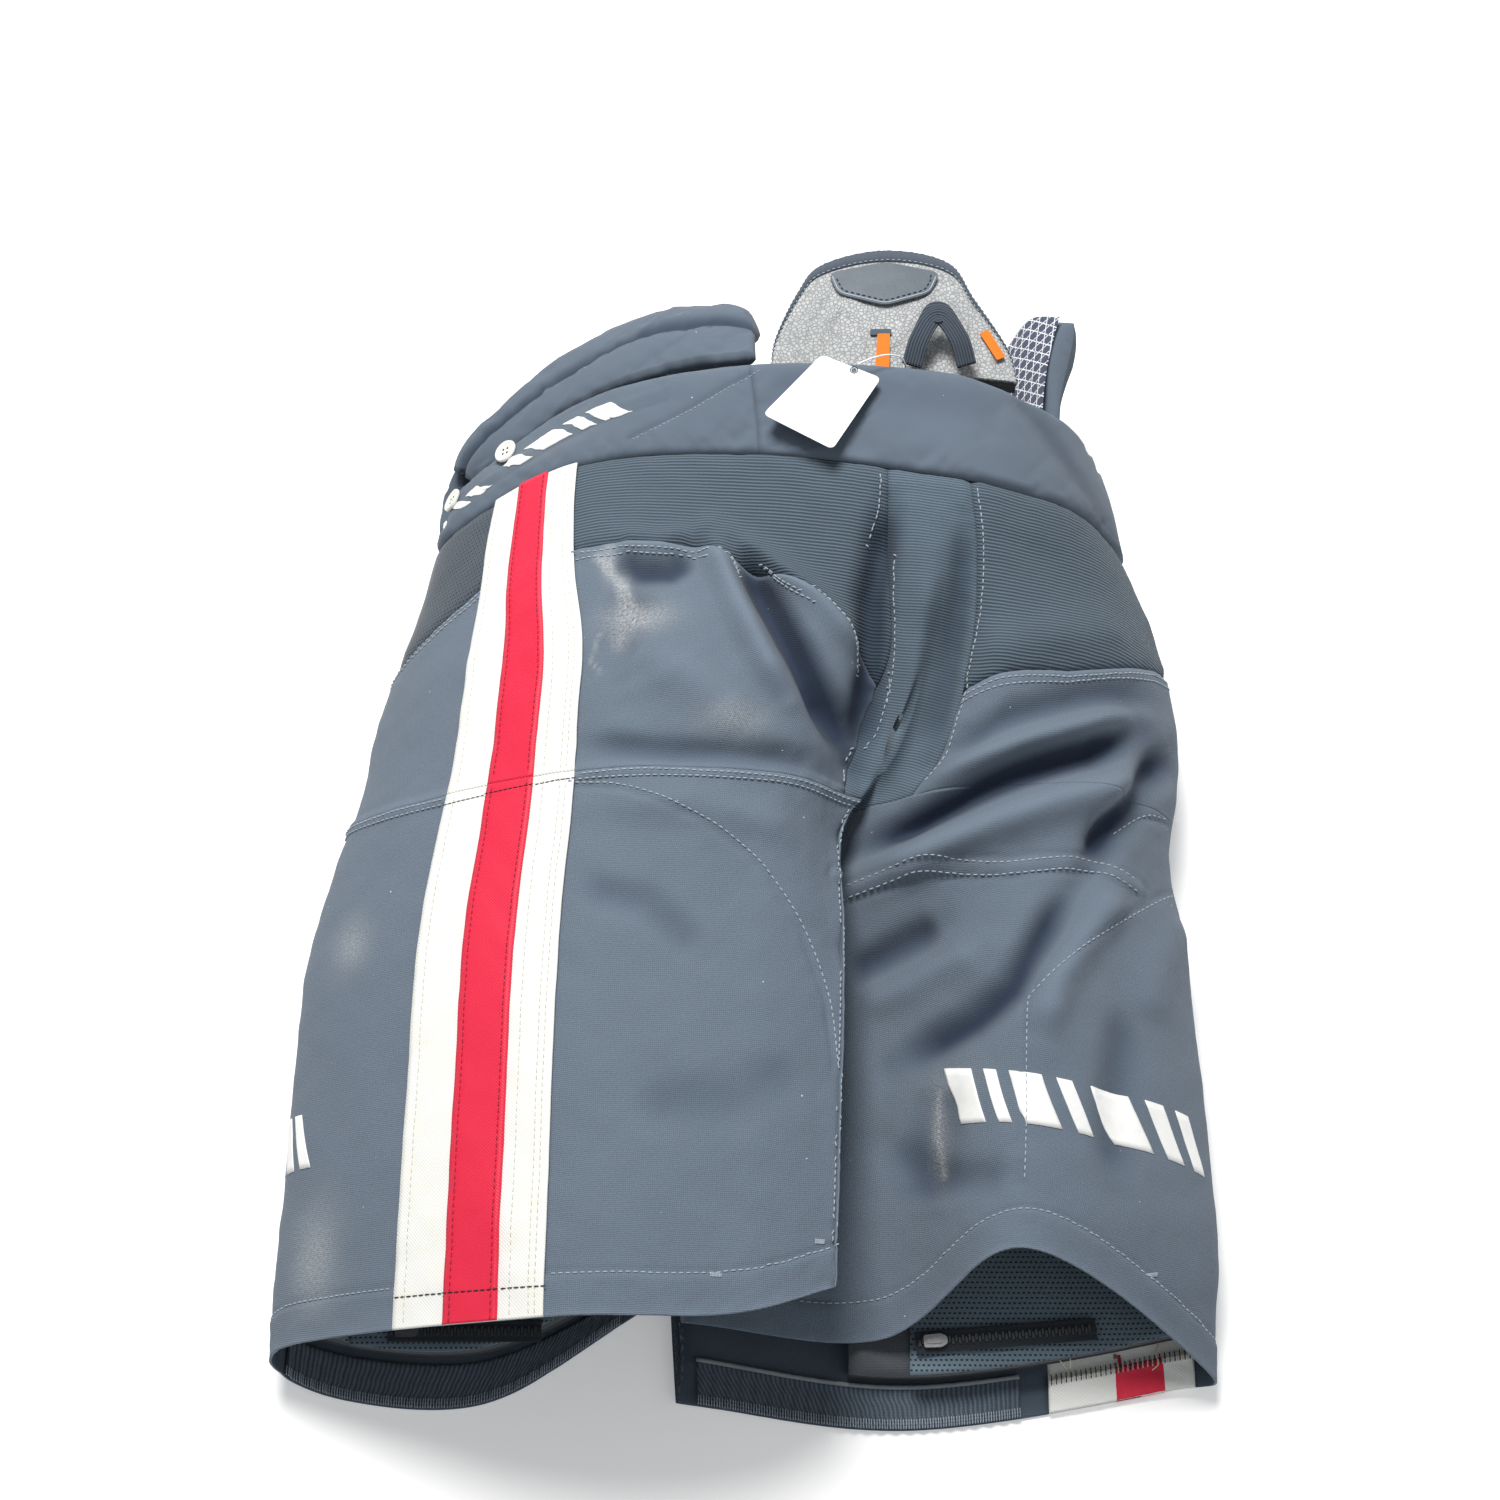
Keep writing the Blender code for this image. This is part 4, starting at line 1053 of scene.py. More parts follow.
def tube_faces(rings):
    faces = [tuple(range(SIDES))[::-1], tuple((rings - 1) * SIDES + k for k in range(SIDES))]
    for r in range(rings - 1):
        for k in range(SIDES):
            n = (k + 1) % SIDES
            faces.append((r * SIDES + k, r * SIDES + n, (r + 1) * SIDES + n, (r + 1) * SIDES + k))
    return faces


STITCH_FACES = tube_faces(len(RINGS))
TURN = [(math.cos(2 * math.pi * k / SIDES), math.sin(2 * math.pi * k / SIDES)) for k in range(SIDES)]


def stitches(batch, points, normals, length, radius, lift=0.22):
    """One short thread at each place, along the line of places."""
    if len(points) < 3:
        return
    along = unit(np.gradient(points, axis=0))
    side = unit(np.cross(normals, along))
    up = np.cross(along, side)
    for p, t, b, n in zip(points, along, side, up):
        ring = [
            p + t * (x * length / 2) + n * (lift + z * radius) + b * (c * radius * w) + n * (s * radius * w)
            for x, w, z in RINGS
            for c, s in TURN
        ]
        batch.take(np.array(ring), STITCH_FACES)


def tube(points, radius, name, look, body, slot):
    """A round cord along a line of points."""
    points = np.array(points, float)
    along = unit(np.gradient(points, axis=0))
    side = unit(np.cross(along, np.array([0.12, 0.2, 1.0])))
    up = np.cross(side, along)
    rings = [p + radius * (c * b + s * n) for p, b, n in zip(points, side, up) for c, s in TURN]
    batch = Batch()
    batch.take(np.array(rings), tube_faces(len(points)))
    batch.build(name, look, body, slot)


def grid_faces(rows, cols):
    """Faces of a closed slab between two equal grids that are listed one after the other."""
    n = rows * cols
    faces = []
    for i in range(rows - 1):
        for j in range(cols - 1):
            a, b, c, d = i * cols + j, (i + 1) * cols + j, (i + 1) * cols + j + 1, i * cols + j + 1
            faces += [(a, b, c, d), (d + n, c + n, b + n, a + n)]
    ring = [(i, 0) for i in range(rows)] + [(rows - 1, j) for j in range(1, cols)]
    ring += [(i, cols - 1) for i in range(rows - 2, -1, -1)] + [(0, j) for j in range(cols - 2, 0, -1)]
    flat = [i * cols + j for i, j in ring]
    for a, b in zip(flat, flat[1:] + flat[:1]):
        faces.append((b, a, a + n, b + n))
    return faces


# ---------------------------------------------------------------- spine guard, loop and tag
GUARD = [
    (12, 240), (14, 268), (28, 303), (42, 321), (78, 330), (114, 322), (128, 297), (146, 262), (150, 240)
]
GUARD_TOP = 126.3  # face of the moulded plate where it is level
GUARD_MIDDLE = 82.0


def guard_slope(x, y):
    return -0.05 * (y - 240) - 0.0011 * (x - GUARD_MIDDLE) ** 2


RIM = smooth_outline(GUARD, 81)


def guard_place(a, t):
    """A point of the guard's plan: a runs round the rim, t goes from its base line out to the rim."""
    edge = np.stack([np.interp(a, np.linspace(0, 1, len(RIM)), RIM[:, k]) for k in range(2)], axis=-1)
    foot = np.stack(
        [GUARD_MIDDLE + (edge[..., 0] - GUARD_MIDDLE) * 0.985, np.full(edge.shape[:-1], 240.0)], axis=-1
    )
    return foot + (edge - foot) * t[..., None]


def guard_grid(low_t, high_t, cells, level):
    a = np.linspace(0.0, 1.0, cells[0])[:, None] + 0 * np.linspace(0, 1, cells[1])[None, :]
    t = np.linspace(low_t, high_t, cells[1])[None, :] + 0 * a
    flat = guard_place(a, t)
    z = level(flat[..., 0], flat[..., 1], a, t) + guard_slope(flat[..., 0], flat[..., 1])
    return np.concatenate([flat, z[..., None]], axis=-1)


def guard_relief(x, y):
    """Moulded shape of the face: side panels stand up, a V runs down the middle, fine cells between."""
    total = np.zeros(np.shape(x))
    for route, half, height in (
        ([(46, 250), (42, 276), (52, 292), (60, 282), (64, 256)], 2.2, 1.6),
        ([(118, 250), (122, 276), (112, 292), (104, 282), (100, 256)], 2.2, 1.6),
        ([(52, 300), (68, 282), (78, 262)], 2.4, 1.3),
        ([(106, 300), (92, 282), (80, 262)], 2.4, 1.3),
        ([(28, 246), (30, 276), (42, 300)], 2.4, 1.0),
        ([(136, 246), (134, 276), (118, 300)], 2.4, 1.0),
    ):
        gap, _ = from_line(np.stack([x, y], axis=-1), route)
        total += height / (1 + np.exp((gap - half) * 1.6))
    return total


def guard_material():
    n = Nodes("guard_rubber", 0.62, 0.35)
    spot = n.add("ShaderNodeTexCoord").outputs["Object"]
    cells = n.add(
        "ShaderNodeTexVoronoi", {"Vector": spot, "Scale": 430.0}, feature="DISTANCE_TO_EDGE"
    ).outputs["Distance"]
    scale = n.ramp(cells, 0.0, 0.16)
    wide = n.ramp(n.noise(spot, 40.0, 4.0, 0.7), 0.3, 0.75)
    body = n.mix(wide, (0.36, 0.37, 0.37, 1), (0.50, 0.51, 0.51, 1))
    body = n.mix(scale, (0.22, 0.23, 0.24, 1), body)
    return n.finish(body, n.plus(scale, n.times(n.noise(spot, 1500.0), 0.2)), 0.5, 0.0006)


GUARD_FACE = guard_material()
BINDING = woven("binding_cloth", (0.085, 0.105, 0.135), 0.8, 0.4, roughness=0.7)
PATCH_LOOK = plain_object("patch_leather", (0.098, 0.118, 0.142), 0.5, 700.0, 0.5, spread=0.12)
ORANGE = woven("orange_cloth", (0.85, 0.20, 0.012), 0.9, 0.4, roughness=0.55)
WEBBING = ribbed("webbing_cloth", (0.062, 0.080, 0.105), 1.6, "Y", 0.7)
CARD = plain_object("tag_paper", (0.90, 0.90, 0.90), 0.5, 500.0, 0.05, spread=0.02)
STRING = plain_object("tag_thread", (0.80, 0.80, 0.80), 0.6, 3000.0, 0.3)
BUTTON = plain_object("button_plastic", (0.74, 0.74, 0.68), 0.3, 600.0, 0.1, spread=0.08)
METAL = plain_object("zip_metal", (0.30, 0.30, 0.31), 0.35, 900.0, 0.1, 1.0)
TEETH = plain_object("zip_teeth", (0.05, 0.055, 0.06), 0.4, 900.0, 0.1)


def half_round(t, low, high):
    """Rise of a bead between two values of t."""
    x = (np.clip(t, low, high) - low) / (high - low) * 2 - 1
    return np.sqrt(np.clip(1 - x * x, 0, 1))


def guard_piece(name, reach, cells, upper, lower, look, node, slot):
    """A layer of the guard between two levels."""
    outer, inner = guard_grid(*reach, cells, upper), guard_grid(*reach, cells, lower)
    remember(outer)
    return sheet_piece(name, outer, inner, True, (look,), "spine_guard", [node], slot)


spine_pad = guard_piece(
    "spine_foam_pad", (0.02, 0.995), (121, 30), lambda x, y, a, t: 122.6 - 1.5 * (1 - rounded(1 - t, 0.06)),
    lambda x, y, a, t: 114.2 + 2.5 * (1 - rounded(1 - t, 0.06)), FOAM, "spine_foam", "pad_foam"
)
guard_piece(
    "spine_face", (0.02, 0.90), (161, 60),
    lambda x, y, a, t: GUARD_TOP - 0.4 + guard_relief(x, y)
    + 0.25 * noise(np.stack([x, y, 0 * x], axis=-1), 30, 31),
    lambda x, y, a, t: 123.5 + 0 * x, GUARD_FACE, "spine_plate", "guard_face"
)
guard_piece(
    "spine_edge_binding", (0.905, 1.0), (161, 14),
    lambda x, y, a, t: 124.4 + 3.0 * half_round(t, 0.9, 1.004) + 0.2 * np.sin(a * 300),
    lambda x, y, a, t: 123.6 + 0 * x, BINDING, "spine_binding", "guard_binding"
)

PATCH = [(45, 312), (50, 297), (77, 288), (103, 297), (109, 312), (78, 319)]
INSERT = [(70, 243), (78, 243), (79, 268), (72, 268)]
FLAG = [(130, 270), (139, 252), (144, 255), (135, 273)]


def rounded_outline(points, radius, steps=5):
    """The closed outline with its corners cut to arcs."""
    points = [np.array(p, float) for p in points]
    out = []
    for k, corner in enumerate(points):
        before = points[k - 1] - corner
        after = points[(k + 1) % len(points)] - corner
        reach = min(radius, 0.4 * np.linalg.norm(before), 0.4 * np.linalg.norm(after))
        a = corner + before / np.linalg.norm(before) * reach
        b = corner + after / np.linalg.norm(after) * reach
        for s in np.linspace(0, 1, steps):
            out.append((1 - s) ** 2 * a + 2 * s * (1 - s) * corner + s * s * b)
    return np.array(out)


def mesh_of(bm, name, look):
    mesh = bpy.data.meshes.new(name)
    bm.to_mesh(mesh)
    bm.free()
    mesh.materials.append(look)
    return mesh


def plate(name, outline, level, thick, look, body, nodes=(), slot=None, hole=None):
    """A thin plate. level(x, y) is its underside. hole is (x, y, radius)."""
    bm = bmesh.new()
    ring = [bm.verts.new((x, y, 0)) for x, y in outline]
    edges = [bm.edges.new((a, b)) for a, b in zip(ring, ring[1:] + ring[:1])]
    if hole:
        cx, cy, r = hole
        turns = [k * math.pi / 8 for k in range(16)]
        inside = [bm.verts.new((cx + r * math.cos(a), cy + r * math.sin(a), 0)) for a in turns]
        edges += [bm.edges.new((a, b)) for a, b in zip(inside, inside[1:] + inside[:1])]
    bmesh.ops.triangle_fill(bm, use_beauty=True, use_dissolve=False, edges=edges)
    bmesh.ops.subdivide_edges(
        bm, edges=[e for e in bm.edges if not e.is_boundary], cuts=2, use_grid_fill=False
    )
    bmesh.ops.triangulate(bm, faces=bm.faces)
    bmesh.ops.recalc_face_normals(bm, faces=bm.faces)
    if bm.faces[:] and bm.faces[0].normal.z > 0:
        bmesh.ops.reverse_faces(bm, faces=bm.faces)
    grown = bmesh.ops.extrude_face_region(bm, geom=bm.faces[:])
    top = [g for g in grown["geom"] if isinstance(g, bmesh.types.BMVert)]
    bmesh.ops.translate(bm, verts=top, vec=(0, 0, thick))
    bmesh.ops.recalc_face_normals(bm, faces=bm.faces)
    for vert in bm.verts:
        x, y, z = vert.co
        vert.co = Vector(to_frame((x, y, z + level(x, y))))
    mesh = mesh_of(bm, name, look)
    weave = np.array([tuple(v.co) for v in mesh.vertices]) / MM
    set_attribute(mesh, "weave", weave)
    for key in ("dust", "edge", "fold"):
        set_attribute(mesh, key, np.zeros(len(weave)))
    place(bpy.data.objects.new(name, mesh), body, nodes, slot)


def on_guard(height):
    return lambda x, y: height + guard_slope(x, y)


plate(
    "spine_label", rounded_outline(PATCH, 5), on_guard(127.6), 1.3, PATCH_LOOK, "spine_guard",
    ["spine_patch"], "guard_patch"
)
plate(
    "spine_orange_strip", rounded_outline(INSERT, 1), on_guard(127.6), 1.3, ORANGE, "spine_guard",
    ["spine_insert"], "orange_tab"
)
plate(
    "spine_orange_flag", rounded_outline(FLAG, 1), on_guard(128.0), 0.9, ORANGE, "spine_guard",
    ["spine_flag"], "orange_tab"
)
plate(
    "spine_slot", rounded_outline([(68, 268), (80, 268), (80, 272), (68, 272)], 1), on_guard(126.4), 1.4,
    BINDING, "spine_guard"
)

guard_thread, label_thread = Batch(), Batch()
guard_tree = stitched_surface()
for share in (0.915, 0.985):
    line = guard_grid(share, share + 0.001, (161, 2), lambda x, y, a, t: GUARD_TOP + 2 + 0 * x)[:, 0]
    spots, ups = drop(guard_tree, spaced(line, 3.2)[:, :2])
    stitches(guard_thread, spots, ups, 1.9, 0.3)
guard_thread.build("spine_binding_stitches", THREAD, "spine_guard", "guard_binding")
inside_label = rounded_outline([(49, 309.5), (53, 299), (77, 291), (100, 299), (105, 309.5)], 3)
inside_label = np.concatenate([inside_label[4:], inside_label[:1]])[:-1]
line = spaced(inside_label, 3.4)
spots = np.array([(x, y, 128.9 + guard_slope(x, y)) for x, y in line])
stitches(label_thread, spots, np.tile([0.0, 0.0, 1.0], (len(spots), 1)), 2.2, 0.42, 0.15)
label_thread.build("spine_label_stitches", THREAD_DARK, "spine_guard", "guard_patch")
label_rim = [
    (*p, 129.0 + guard_slope(*p))
    for p in rounded_outline(
        [(46.5, 311.3), (51, 297.8), (77, 289.2), (102.3, 297.8), (107.7, 311.3)], 4
    )[3:-3]
]
tube(spaced(label_rim, 1.5), 0.45, "spine_label_rim", THREAD, "spine_guard", "guard_patch")

# the loop's strap goes up, folds over itself at the tip and comes down
LOOP = [(90, 243, 133.0), (95, 257, 140.0), (105, 271, 143.0), (116, 257, 140.0), (121, 243, 133.0)]


def strap(name, route, half, thick, body, look, nodes, slot):
    """A flat strap that widens and bunches where it folds over at its middle."""
    count, tip = 60, 2.0
    line = smooth_outline(route, count)
    along = np.gradient(line, axis=0)
    along[:, 2] = 0
    along = unit(along)
    across = np.stack([-along[:, 1], along[:, 0], 0 * along[:, 0]], axis=1)
    share = np.linspace(0, 1, count)
    wide = half + tip * np.exp(-(((share - 0.5) / 0.09) ** 2))
    w = np.linspace(-1, 1, 9)
    bunch = 0.5 * np.exp(-(((share - 0.5) / 0.12) ** 2))[:, None] * np.sin(w * 6.0)[None, :]
    body_line = line[:, None] + across[:, None] * (w[None, :, None] * wide[:, None, None])
    bead = thick * (0.75 + 0.25 * np.sqrt(1 - np.abs(w) ** 4))[None, :] + bunch
    outer, inner = body_line.copy(), body_line.copy()
    outer[..., 2] += bead
    inner[..., 2] -= thick * 0.8
    sheet_piece(name, outer, inner, True, (look,), body, nodes, slot)


strap("webbing_loop", LOOP, 5.5, 0.9, "hanger_loop", WEBBING, ["hanger_loop"], "webbing")

TAG = [(39, 232), (71, 217), (44, 172), (7, 194)]
TAG_HOLE = (56.5, 222.0)

plate(
    "blank_tag", rounded_outline(TAG, 3.5, 7), lambda x, y: 159.05, 0.45, CARD, "hang_tag", ["hang_tag"],
    "tag_card", hole=(*TAG_HOLE, 1.5)
)
eyelet = [
    (TAG_HOLE[0] + 2.0 * math.cos(a), TAG_HOLE[1] + 2.0 * math.sin(a), 159.6)
    for a in np.linspace(0, 2 * math.pi * 0.97, 22)
]
tube(eyelet, 0.28, "tag_eyelet", THREAD_DARK, "hang_tag", "tag_card")

STRING_ROUTE = [
    (58.5, 225.0, 160.4), (61.0, 226.3, 160.9), (63.8, 227.6, 161.0), (66.6, 228.9, 160.9),
    (69.4, 230.1, 160.5), (72.2, 231.3, 159.8), (75.0, 232.4, 158.7), (77.6, 233.4, 157.2),
    (80.0, 234.2, 155.3), (82.0, 234.9, 153.1), (83.6, 235.3, 150.7), (84.7, 235.5, 148.2),
    (85.4, 235.5, 145.8), (85.8, 235.3, 143.6), (86.0, 235.0, 141.5)
]
string_places = to_frame(STRING_ROUTE)
string_curve = bpy.data.curves.new("thread_of_tag", "CURVE")
string_curve.dimensions = "3D"
string_curve.bevel_depth = 0.5 * MM
string_curve.bevel_resolution = 4
string_curve.use_fill_caps = True
string_line = string_curve.splines.new("POLY")
string_line.points.add(len(string_places) - 1)
for knot, spot in zip(string_line.points, string_places):
    knot.co = (*spot, 1.0)
string_curve.materials.append(STRING)
string = place(bpy.data.objects.new("thread_of_tag", string_curve), "pelvis", ["tag_string"], "tag_string")


# ---- buttons: turned discs with a dished face and four holes ----
def button(name, u, v, node):
    centre, normal = spot_on(L, u, v)
    centre = centre + normal * 3.0
    profile = [
        (0.0, 0.0), (5.8, 0.0), (7.0, 0.9), (7.2, 1.9), (6.7, 2.7), (5.9, 2.9), (5.2, 2.3), (4.4, 1.9),
        (0.0, 1.8)
    ]
    bm = bmesh.new()
    seg = 40
    turns = [2 * math.pi * k / seg for k in range(seg)]
    rings = [
        [bm.verts.new((r * math.cos(a), r * math.sin(a), h)) for a in (turns if r else turns[:1])]
        for r, h in profile
    ]
    for a, b in zip(rings, rings[1:]):
        for k in range(seg):
            n = (k + 1) % seg
            if len(a) == 1:
                bm.faces.new((a[0], b[n], b[k]))
            elif len(b) == 1:
                bm.faces.new((a[k], a[n], b[0]))
            else:
                bm.faces.new((a[k], a[n], b[n], b[k]))
    bmesh.ops.recalc_face_normals(bm, faces=bm.faces)
    turn = Vector((0, 0, 1)).rotation_difference(Vector(normal)).to_matrix().to_4x4()
    bm.transform(Matrix.Scale(MM, 4) @ Matrix.Translation(Vector(centre + SHIFT)) @ turn)
    mesh = mesh_of(bm, name, BUTTON)
    mesh.polygons.foreach_set("use_smooth", np.ones(len(mesh.polygons), bool))
    place(bpy.data.objects.new(name, mesh), "pelvis", [node], "button_plastic")
    holes = Batch()
    right = np.array(turn.to_3x3() @ Vector((1, 0, 0)))
    up = np.array(turn.to_3x3() @ Vector((0, 1, 0)))
    for sx, sy in ((-1, -1), (1, -1), (1, 1), (-1, 1)):
        spot = centre + right * 1.5 * sx + up * 1.5 * sy
        rings = [
            spot + normal * h + (right * c + up * s) * w
            for h, w in ((1.2, 0.75), (1.95, 0.75))
            for c, s in TURN
        ]
        holes.take(np.array(rings), tube_faces(2))
    holes.build(name + "_thread", THREAD_DARK, "pelvis", "button_plastic")


button("button_rear", 2.5, 0.2, "suspender_button_rear")
button("button_side", 2.95, 0.38, "suspender_button_side")

# ---------------------------------------------------------------- stitching
SURFACE = stitched_surface()
threads = {}


def batch_for(body, look):
    key = (body, look.name)
    if key not in threads:
        threads[key] = (Batch(), look)
    return threads[key][0]


def sew_on_shell(side, u, v, body, look=THREAD, pitch=3.6, length=2.6, radius=0.42):
    """A row along a line given in surface units, in arrays or pairs of limits."""
    u, v = (np.linspace(*x, 120) if len(x) == 2 else np.array(x, float) for x in (u, v))
    above = 1 if look is THREAD else 4  # the coloured threads lie on the stripe, above the shell
    points = shell(side, u, v) + normals_at(side, u, v) * above
    spots, ups = settle(SURFACE, spaced(points, pitch))
    stitches(batch_for(body, look), spots, ups, length, radius, 0.3)


def sew_from_above(route, body, shift, pitch=3.6, length=2.6, radius=0.42):
    """A row under a route seen from above, moved sideways by shift."""
    line = spaced(smooth_outline(route, 80), 2.0)
    along = unit(np.gradient(line, axis=0))
    line = line + np.stack([-along[:, 1], along[:, 0]], axis=1) * shift
    spots, ups = drop(SURFACE, spaced(line, pitch))
    stitches(batch_for(body, THREAD), spots, ups, length, radius)


def hem_line(side, u, distance):
    """Row parameter v at this distance in mm from the hem's edge, for each u."""
    v = np.linspace(8.0, 9.0, 60)
    out = []
    for a in u:
        line = shell(side, np.full(60, a), v)
        left = np.linalg.norm(np.diff(line, axis=0), axis=1)[::-1].cumsum()[::-1]
        out.append(np.interp(-distance, -left, v[:-1]))
    return np.array(out)


yoke_u = np.linspace(GUSSET_L + 0.02, 2.0, 90)
side_u = np.linspace(2.52, 3.45, 40)
for offset in (0.055, 0.13):
    sew_on_shell(L, yoke_u, at(YOKE_LEFT, yoke_u) + offset, LEFT_BEND)
    sew_on_shell(L, side_u, at(YOKE_LEFT, side_u) + offset, LEFT_BEND)
yoke_u = np.linspace(GUSSET_R + 0.03, SIDE_R - 0.05, 100)
for offset in (0.055, 0.13):
    sew_on_shell(R, yoke_u, at(YOKE_RIGHT, yoke_u) + offset, RIGHT_BEND)
for offset in (0.04, 0.12):
    sew_on_shell(L, (0.03, 1.98), (SEAT + offset, SEAT + offset), "left_leg")
    sew_on_shell(L, (2.53, 3.4), (SEAT + offset, SEAT + offset), "left_leg")
sew_on_shell(L, (GUSSET_L + 0.04, GUSSET_L + 0.04), (1.1, 4.35), LEFT_BEND)
sew_on_shell(R, (GUSSET_R + 0.05, GUSSET_R + 0.05), (1.1, 4.35), RIGHT_BEND)
sew_on_shell(L, (0.06, 0.06), (4.7, 8.3), "left_leg")
sew_from_above(FELLED["thigh_right"][0], "right_leg", 3.0)
sew_from_above(FELLED["thigh_right"][0], "right_leg", -3.0)
sew_from_above(FELLED["knee_left"][0], "left_leg", 2.2)
sew_from_above(FELLED["knee_right"][0], "right_leg", 2.2)
sew_from_above(FELLED["hip_right"][0], "right_leg", 2.0)
sew_from_above(DIAGONAL, "pelvis", 1.8, pitch=2.6, length=1.8, radius=0.26)
for side, span, body in (
    (L, (0.05, 1.98, 60), "left_leg"), (L, (2.53, 3.45, 40), "left_leg"), (R, (0.6, 3.7, 90), "right_leg")
):
    hem_u = np.linspace(*span)
    sew_on_shell(side, hem_u, hem_line(side, hem_u, HEM_WIDTH), body)
sew_on_shell(L, (2.0, 2.5), (8.62, 8.6), "left_leg", THREAD_DARK, 3.6, 2.8, 0.32)
sew_on_shell(L, (2.0, 2.5), (SEAT + 0.1, SEAT + 0.16), "left_leg", THREAD_DARK, 3.0, 2.6, 0.24)
for body, rows in ((LEFT_BEND, (1.05, 4.4)), ("left_leg", (4.6, 8.95))):
    for u in (2.035, 2.465, 2.06, 2.13):
        sew_on_shell(L, (u, u), rows, body, THREAD_CREAM, 3.6, 2.4, 0.24)
    for u in (2.19, 2.32):
        sew_on_shell(L, (u, u), rows, body, THREAD_RED, 3.4, 2.4, 0.30)
for body, rows in ((RIGHT_BEND, (1.05, 4.4)), ("right_leg", (4.6, 8.95))):
    for u in (4.025, 4.225):
        sew_on_shell(R, (u, u), rows, body, THREAD_RED, 3.4, 2.4, 0.26)
for side, front_u, body in ((L, (3.6, 5.9), "left_leg"), (R, (4.6, 5.9), "right_leg")):
    hem_u = np.linspace(*front_u, 70)
    sew_on_shell(side, hem_u, hem_line(side, hem_u, HEM_WIDTH), body)


def bar_tack(side, u, v, body):
    """A short dense block of thread where a row ends."""
    spots, _ = settle(SURFACE, [spot_on(side, u, v)[0]])
    for x in np.linspace(-2.5, 2.5, 8):
        line = spots[0] + np.array([[x, -0.7, 0], [x, 0, 0], [x, 0.7, 0]])
        stitches(batch_for(body, THREAD), *settle(SURFACE, line), 1.0, 0.32)


bar_tack(L, 1.1, 8.52, "left_leg")
bar_tack(L, 0.2, 8.25, "left_leg")
bar_tack(R, 2.6, 8.5, "right_leg")

# ---------------------------------------------------------------- plain slanted bars
BAR_LOOK = plain_object("bar_print", (0.84, 0.84, 0.82), 0.45, 1400.0, 0.25, spread=0.05)


def bars(name, side, centre, slots_u, half, slant, body):
    """Thin raised patches in a row. centre(u) is the row's middle line and half its half height, in v."""
    batch = Batch()
    for low, high in slots_u:
        du = np.linspace(0, 1, 14)[:, None]
        dv = np.linspace(-1, 1, 9)[None, :]
        u = low + (high - low) * du + slant * dv
        v = centre(u) + half * dv
        base = shell(side, u, v).reshape(-1, 3)
        spots, ups = settle(SURFACE, base + normals_at(side, u, v).reshape(-1, 3))
        batch.take(np.concatenate([spots + ups * 0.5, spots - ups * 0.3]), grid_faces(14, 9))
    mesh = batch.build(name, BAR_LOOK, body, "stripe_white")
    bm = bmesh.new()
    bm.from_mesh(mesh.data)
    bmesh.ops.recalc_face_normals(bm, faces=bm.faces)
    bm.to_mesh(mesh.data)
    bm.free()


bars(
    "bars_hip", L, lambda u: 0.36 + 0.26 * (u - 1.7),
    [(1.76, 1.92), (1.97, 2.06), (2.12, 2.30), (2.36, 2.44), (2.62, 2.72), (2.78, 2.86), (3.02, 3.10)], 0.12,
    -0.07, "pelvis"
)
bars(
    "bars_thigh_right", R, lambda u: 6.97 + 0.2 * (u - 1.4),
    [(1.48, 1.66), (1.74, 1.82), (1.90, 2.10), (2.18, 2.26), (2.36, 2.54), (2.62, 2.72), (2.80, 2.90)], 0.21,
    0.06, "right_leg"
)
bars(
    "bars_thigh_left", L, lambda u: 7.22 + 0 * u, [(2.93, 3.0), (3.06, 3.16), (3.22, 3.28)], 0.2, -0.05,
    "left_leg"
)

for number, ((body, _), (batch, look)) in enumerate(threads.items()):
    if batch.count:
        batch.build(f"stitches_{number:02d}_{look.name}", look, body, "nylon_shell")

# ------------------------------------------------------------ hems, inner layers, zips and the folded stripe
UPRIGHT = np.tile([0.0, 0.0, 1.0], (3, 1))
PIPING = plain_object("grey_piping", (0.22, 0.25, 0.27), 0.6, 1500.0, 0.5)
HEM_CLOTH = ribbed("hem_cloth", (0.075, 0.098, 0.125), 2.6, "X", 0.6, 0.5)
LINER_MESH = perforated_knit("liner_mesh", (0.115, 0.165, 0.205))
ZIP_CLOTH = woven("zip_cloth", (0.028, 0.034, 0.042), 0.7, 0.5, roughness=0.75)


def facing(
    name, side, u, v, reach, body, look, slot, nodes=(), gather=0.9, pitch=7.0, thick=1.0, step=1.6,
    held="gathered"
):
    """A strip on the inside of a front panel. reach is its depth below the shell's outside."""
    across, down = surface_grid(side, u, v, step)
    base = shell(side, across, down)
    normal = normals_at(side, across, down)
    along_u, along_v = arc_lengths(base, 0), arc_lengths(base, 1)
    share = along_v / np.maximum(along_v[:, -1:], 1e-6)
    ripple = np.sin(2 * math.pi * along_u / pitch + 1.5 * noise(base, 40, 41)) * (0.4 + 0.6 * share)
    ripple = gather * (ripple + 0.5 * noise(base, 9, 42))
    upper = base - normal * (reach + thick + gather + ripple)[..., None]
    under = base - normal * (reach + gather + ripple)[..., None]
    for grid in (upper, under):
        grid[..., 2] = np.maximum(grid[..., 2], 0.3)
    made = sheet_piece(name, upper, under, side == L, look, body, nodes, slot)
    return upper


